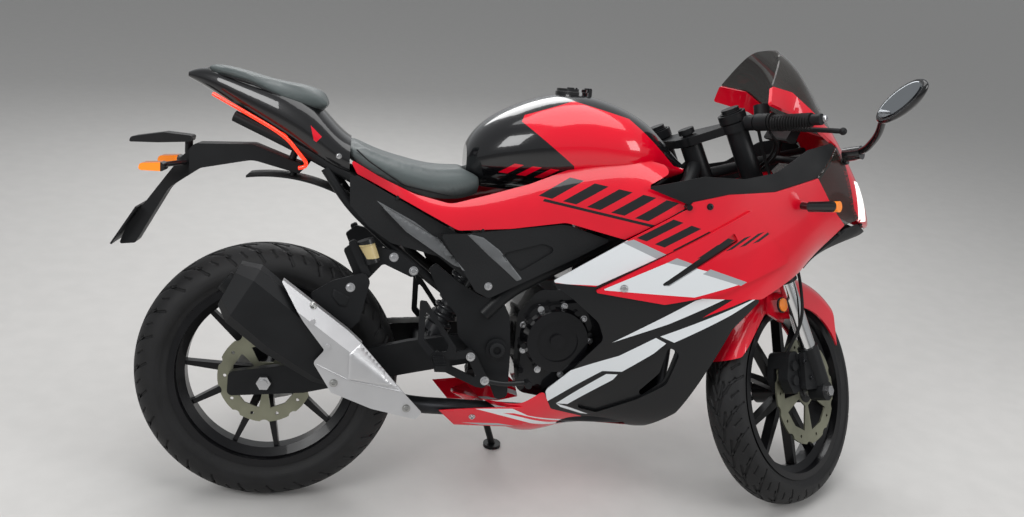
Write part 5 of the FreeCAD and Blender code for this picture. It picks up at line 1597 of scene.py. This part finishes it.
@dataclass
class Lines(Assembly):
    """Cables, hoses and lit strips."""

    lines: tuple[Line, ...] = ()

    def build(self) -> None:
        """Make every line."""
        for line in self.lines:
            self.body = line.body
            made = []
            for side in (1, -1) if line.pair else (1,):
                spots = [self.stance.at(x, y * side, z) for x, y, z in line.points]
                made.append(self.tube(spots, line.radius * MM))
            self.settle_all(made, line.name, line.finish, ROUND_CREASE)


@dataclass(frozen=True)
class Spacer:
    """Round spacers of one kind between two nodes, near spots in millimetres on both sides."""

    name: str
    held: str
    carrier: str
    spots: tuple[tuple[float, float, float], ...]
    radius: float
    finish: Look = MATT_PLASTIC


@dataclass
class Spacers(Assembly):
    """Spacers and stays that seat a panel on what carries it."""

    spacers: tuple[Spacer, ...] = ()
    bite: float = 2.0
    rounds: int = 12

    def build(self) -> None:
        """Make every spacer on both sides."""
        for spacer in self.spacers:
            made = []
            for x, y, z in spacer.spots:
                for side in (1, -1) if y else (1,):
                    start, end = self.span(spacer, self.stance.at(x, y * side, z))
                    reach = (end - start).normalized() * self.bite * MM
                    made.append(self.tube([start - reach, (start + end) / 2, end + reach],
                                          spacer.radius * MM, sides=4))
            self.settle_all(made, spacer.name, spacer.finish, ROUND_CREASE)

    def span(self, spacer: Spacer, spot: Vector) -> tuple[Vector, Vector]:
        """Shortest way between the two nodes.

        Args:
            spacer: the spacer.
            spot: a place near it.

        Returns:
            The point on the held node and the one on its carrier.
        """
        for _ in range(self.rounds):
            held = frame["nodes"][spacer.held].closest_point_on_mesh(spot)[1]
            spot = frame["nodes"][spacer.carrier].closest_point_on_mesh(held)[1]
        return held, spot


@dataclass
class Studio:
    """Camera, lamps and floor."""

    focal_pixels: float = 1032.37
    frame_width: float = 1024
    sensor: float = 36.0
    stand_off: tuple[float, float, float] = (210.35, -2259.13, 1489.95)
    yaw: float = math.radians(8.99)
    pitch: float = math.radians(20.25)
    roll: float = math.radians(5.5)
    floor_size: float = 80.0
    lamp_aim: tuple[float, float, float] = (0, 0, 0.45)
    world_light: float = 0.34
    world_in_gloss: float = 0.4
    world_behind: float = 0.22

    def build(self) -> None:
        """Make the camera, floor, lamps and world."""
        self.camera()
        self.floor()
        self.lamps()
        self.world()

    def camera(self) -> None:
        """Camera at the photograph's angle."""
        data = bpy.data.cameras.new("view")
        data.sensor_fit = "HORIZONTAL"
        data.sensor_width = self.sensor
        data.lens = self.sensor * self.focal_pixels / self.frame_width
        camera = linked("view", data)
        ahead = Vector((math.sin(self.yaw) * math.cos(self.pitch),
                        math.cos(self.yaw) * math.cos(self.pitch), -math.sin(self.pitch)))
        right = Vector((math.cos(self.yaw), -math.sin(self.yaw), 0))
        above = right.cross(ahead)
        across = right * math.cos(self.roll) + above * math.sin(self.roll)
        upward = above * math.cos(self.roll) - right * math.sin(self.roll)
        ground = Vector((STILL.origin.x, STILL.origin.y, 0))
        place = Matrix.Translation(ground + Vector(self.stand_off) * MM)
        camera.matrix_world = place @ axes_turn(across, upward, -ahead)
        bpy.context.scene.camera = camera

    def floor(self) -> None:
        """Plain pale floor."""
        bpy.ops.object.select_all(action="DESELECT")
        bpy.ops.mesh.primitive_plane_add(size=self.floor_size)
        floor = bpy.context.object
        floor.name = "floor"
        floor.data.materials.append(Finish("floor_pale", Tone.FLOOR, 0.75, grain=30, relief=0.0001,
                                           mottle=0.02, specular=0.2).build())

    def lamps(self) -> None:
        """Soft studio lamps: a large one overhead, a key at the left and a fill at the right."""
        for name, place, size, power in (("overhead", (0.1, -0.2, 3.4), 3.0, 70),
                                         ("key", (-2.6, -2.6, 2.6), 1.6, 60),
                                         ("fill", (2.8, -2.2, 1.8), 1.4, 32),
                                         ("rim", (-0.4, 2.8, 2.6), 1.8, 40)):
            data = bpy.data.lights.new(name, "AREA")
            data.size = size
            data.energy = power
            way = Vector(self.lamp_aim) - Vector(place)
            aim = way.to_track_quat("-Z", "Y").to_matrix().to_4x4()
            linked(name, data).matrix_world = Matrix.Translation(place) @ aim

    def world(self) -> None:
        """Even pale world, brighter in gloss and glass, which the camera sees as dim as the far floor."""
        world = bpy.data.worlds.new("studio")
        bpy.context.scene.world = world
        world.use_nodes = True
        tree = world.node_tree
        tree.nodes.clear()
        output = tree.nodes.new("ShaderNodeOutputWorld")
        rays = tree.nodes.new("ShaderNodeLightPath")
        glossy = tree.nodes.new("ShaderNodeMath")
        glossy.operation = "MAXIMUM"
        tree.links.new(rays.outputs["Is Glossy Ray"], glossy.inputs[0])
        tree.links.new(rays.outputs["Is Transmission Ray"], glossy.inputs[1])
        lit = tree.nodes.new("ShaderNodeMapRange")
        lit.inputs["To Min"].default_value = self.world_light
        lit.inputs["To Max"].default_value = self.world_in_gloss
        tree.links.new(glossy.outputs[0], lit.inputs["Value"])
        strength = tree.nodes.new("ShaderNodeMapRange")
        strength.inputs["To Max"].default_value = self.world_behind
        tree.links.new(lit.outputs[0], strength.inputs["To Min"])
        tree.links.new(rays.outputs["Is Camera Ray"], strength.inputs["Value"])
        back = tree.nodes.new("ShaderNodeBackground")
        back.inputs["Color"].default_value = (0.93, 0.95, 0.97, 1)
        tree.links.new(strength.outputs[0], back.inputs["Strength"])
        tree.links.new(back.outputs[0], output.inputs["Surface"])


PLATES = (
    Plate("daylight_lenses", "nose_cowl", ((1412, 866), (1436, 860), (1470, 764), (1440, 764)), DAY_LAMP),
    Plate("knee_blades", "side_pads",
          ((448, 696), (504, 648), (570, 590), (584, 596), (528, 660), (488, 688)), GREY_BLADE, 2.4),
    Plate("cover_blades", "side_pads", ((250, 750), (308, 694), (420, 622), (440, 616), (392, 672)),
          GREY_BLADE, 2.4),
    Plate("belly_skirts", "",
          ((410, 264), (497, 270), (608, 281), (632, 262), (640, 228), (589, 217), (453, 219)),
          BELLY_PAINT, 2.6, slope=(108, 0.56, 225)),
    Plate("shield_ribs", "heat_shield", ((195, 424), (221, 444), (236, 436), (306, 350), (195, 366)),
          SHIELD_SATIN, 6.0, sides=(-1,)),
    Plate("hanger_pads", "footrests", ((152, 553), (189, 535), (182, 512), (166, 514), (149, 536)),
          CAST_BLACK, 4.0, sides=(-1,)),
)

TRIMS = (
    Trim("shield_creases", "heat_shield", ((124, 398), (195, 364), (312, 340)), 1.6, SHIELD_SATIN,
         lift=0.4, sides=(-1,)),
)

LINES = (
    Line("tail_strips", ((-138, 66, 972), (-60, 84, 934), (27, 97, 890), (58, 100, 854), (86, 102, 822),
                         (60, 98, 818)), 4.5, TAIL_LAMP, pair=True),
    Line("throttle_cable_open", ((1040, -212, 914), (1100, -200, 898), (1150, -140, 868), (1130, -60, 830),
                                 (1092, -22, 800)), 3.2, GRIP_RUBBER, body=Body.STEERING),
    Line("throttle_cable_close", ((1044, -206, 922), (1092, -196, 904), (1138, -138, 872), (1120, -54, 834),
                                  (1092, -6, 800)), 3.2, GRIP_RUBBER, body=Body.STEERING),
    Line("blade_posts", ((-198, 20, 831), (-198, 20, 846), (-198, 20, 860)), 6.0, MATT_PLASTIC, pair=True),
    Line("clutch_cable", ((1044, 212, 918), (1110, 196, 902), (1156, 130, 872), (1130, 52, 832),
                          (1092, 16, 800)), 3.6, GRIP_RUBBER, body=Body.STEERING),
)

SPACERS = (
    Spacer("mirror_feet", "mirrors", "nose_cowl", ((1372, 106, 914),), 9.0, GLOSS_BLACK),
    Spacer("chin_clips", "nose_chin", "nose_cowl", ((1453, 64, 756),), 5.0),
    Spacer("chin_stays", "nose_chin", "upper_fairings", ((1382, 97, 738),), 5.0),
    Spacer("pad_clips", "side_pads", "side_covers", ((293, 129, 763), (483, 149, 702)), 5.0),
    Spacer("pad_stays", "side_pads", "frame", ((465, 124, 572),), 7.0),
    Spacer("tray_clips", "undertray", "rear_fender", ((25, 30, 802),), 7.0),
    Spacer("tray_stays", "undertray", "frame", ((150, 75, 768),), 6.0),
    Spacer("fender_stays", "rear_fender", "tail_cowl", ((58, 0, 840), (46, 9, 845)), 9.0),
    Spacer("fender_struts", "rear_fender", "tail_light", ((45, 20, 845),), 8.0),
    Spacer("indicator_stems", "rear_fender", "indicators", ((-200, 33, 811),), 5.0),
)

RIDER_SEAM = ((190, 868), (218, 846), (300, 796), (414, 775), (476, 782))
PILLION_SEAM = ((-140, 1020), (-60, 1004), (20, 975), (70, 955))

BOLTS = (
    Row("pad_bolts", "side_pads", ((507, 574),), 7.0),
    Row("fairing_bolts", "upper_fairings", ((1007, 794),), 6.0, finish=BOLT_BLACK),
    Row("wing_bolts", "wing_panels", ((818, 593),), 7.0),
    Row("belly_bolts", "belly_skirts", ((494, 245),), 6.0),
    Row("pivot_caps", "through_bolts", ((539, 420),), 19.0, finish=CAST_BLACK),
    Row("muffler_bolts", "footrests", ((190, 558),), 8.0, sides=(-1,)),
    Row("hanger_bolts", "footrests", ((475, 407), (512, 350), (286, 628), (333, 598)), 8.0),
    Row("shield_bolts", "heat_shield", ((111, 526), (163, 356), (328, 300)), 7.0,
        finish=BOLT_STEEL, sides=(-1,)),
    Row("clutch_bolts", "engine_covers", tuple(
        (685 + 84 * math.cos(math.radians(40 * k)), 443 + 84 * math.sin(math.radians(40 * k)))
        for k in range(9)), 6.0, Head.HEX),
    Row("bar_end_bolts", "handlebars", ((1047, 926),), 7.0, body=Body.STEERING),
    Row("cowl_bolts", "tail_cowl", ((150, 852),), 5.0),
    Row("fork_bolts", "fork_bottoms", ((1290, 330), (1262, 372)), 6.0, finish=BOLT_BLACK,
        body=Body.STEERING),
)


def main() -> None:
    """Dress the frame and build the scene."""
    logging.basicConfig(level=logging.INFO, format="%(message)s")
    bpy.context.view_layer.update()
    bpy.context.scene.view_settings.view_transform = "Standard"
    WARDROBE.dress_nodes()
    log.info("nodes dressed")
    Studio().build()
    log.info("studio built")
    Tread(body=Body.REAR_WHEEL).build()
    Tread(body=Body.FRONT_WHEEL, node="front_tyre", finish=FRONT_RUBBER, axle=FRONT_AXLE,
          radius=FRONT_AXLE[1], crown=52.0, pitches=25).build()
    Seat(seam=RIDER_SEAM).build()
    Seat(node="pillion_seat", seam=PILLION_SEAM).build()
    Mirrors().build()
    Overlays(plates=PLATES).build()
    Trims(trims=TRIMS).build()
    Chain().build()
    GripRibs(body=Body.STEERING).build()
    Reflectors(body=Body.STEERING).build()
    Lines(lines=LINES).build()
    Fasteners(rows=BOLTS).build()
    Spacers(spacers=SPACERS).build()


if __name__ == "__main__":
    main()
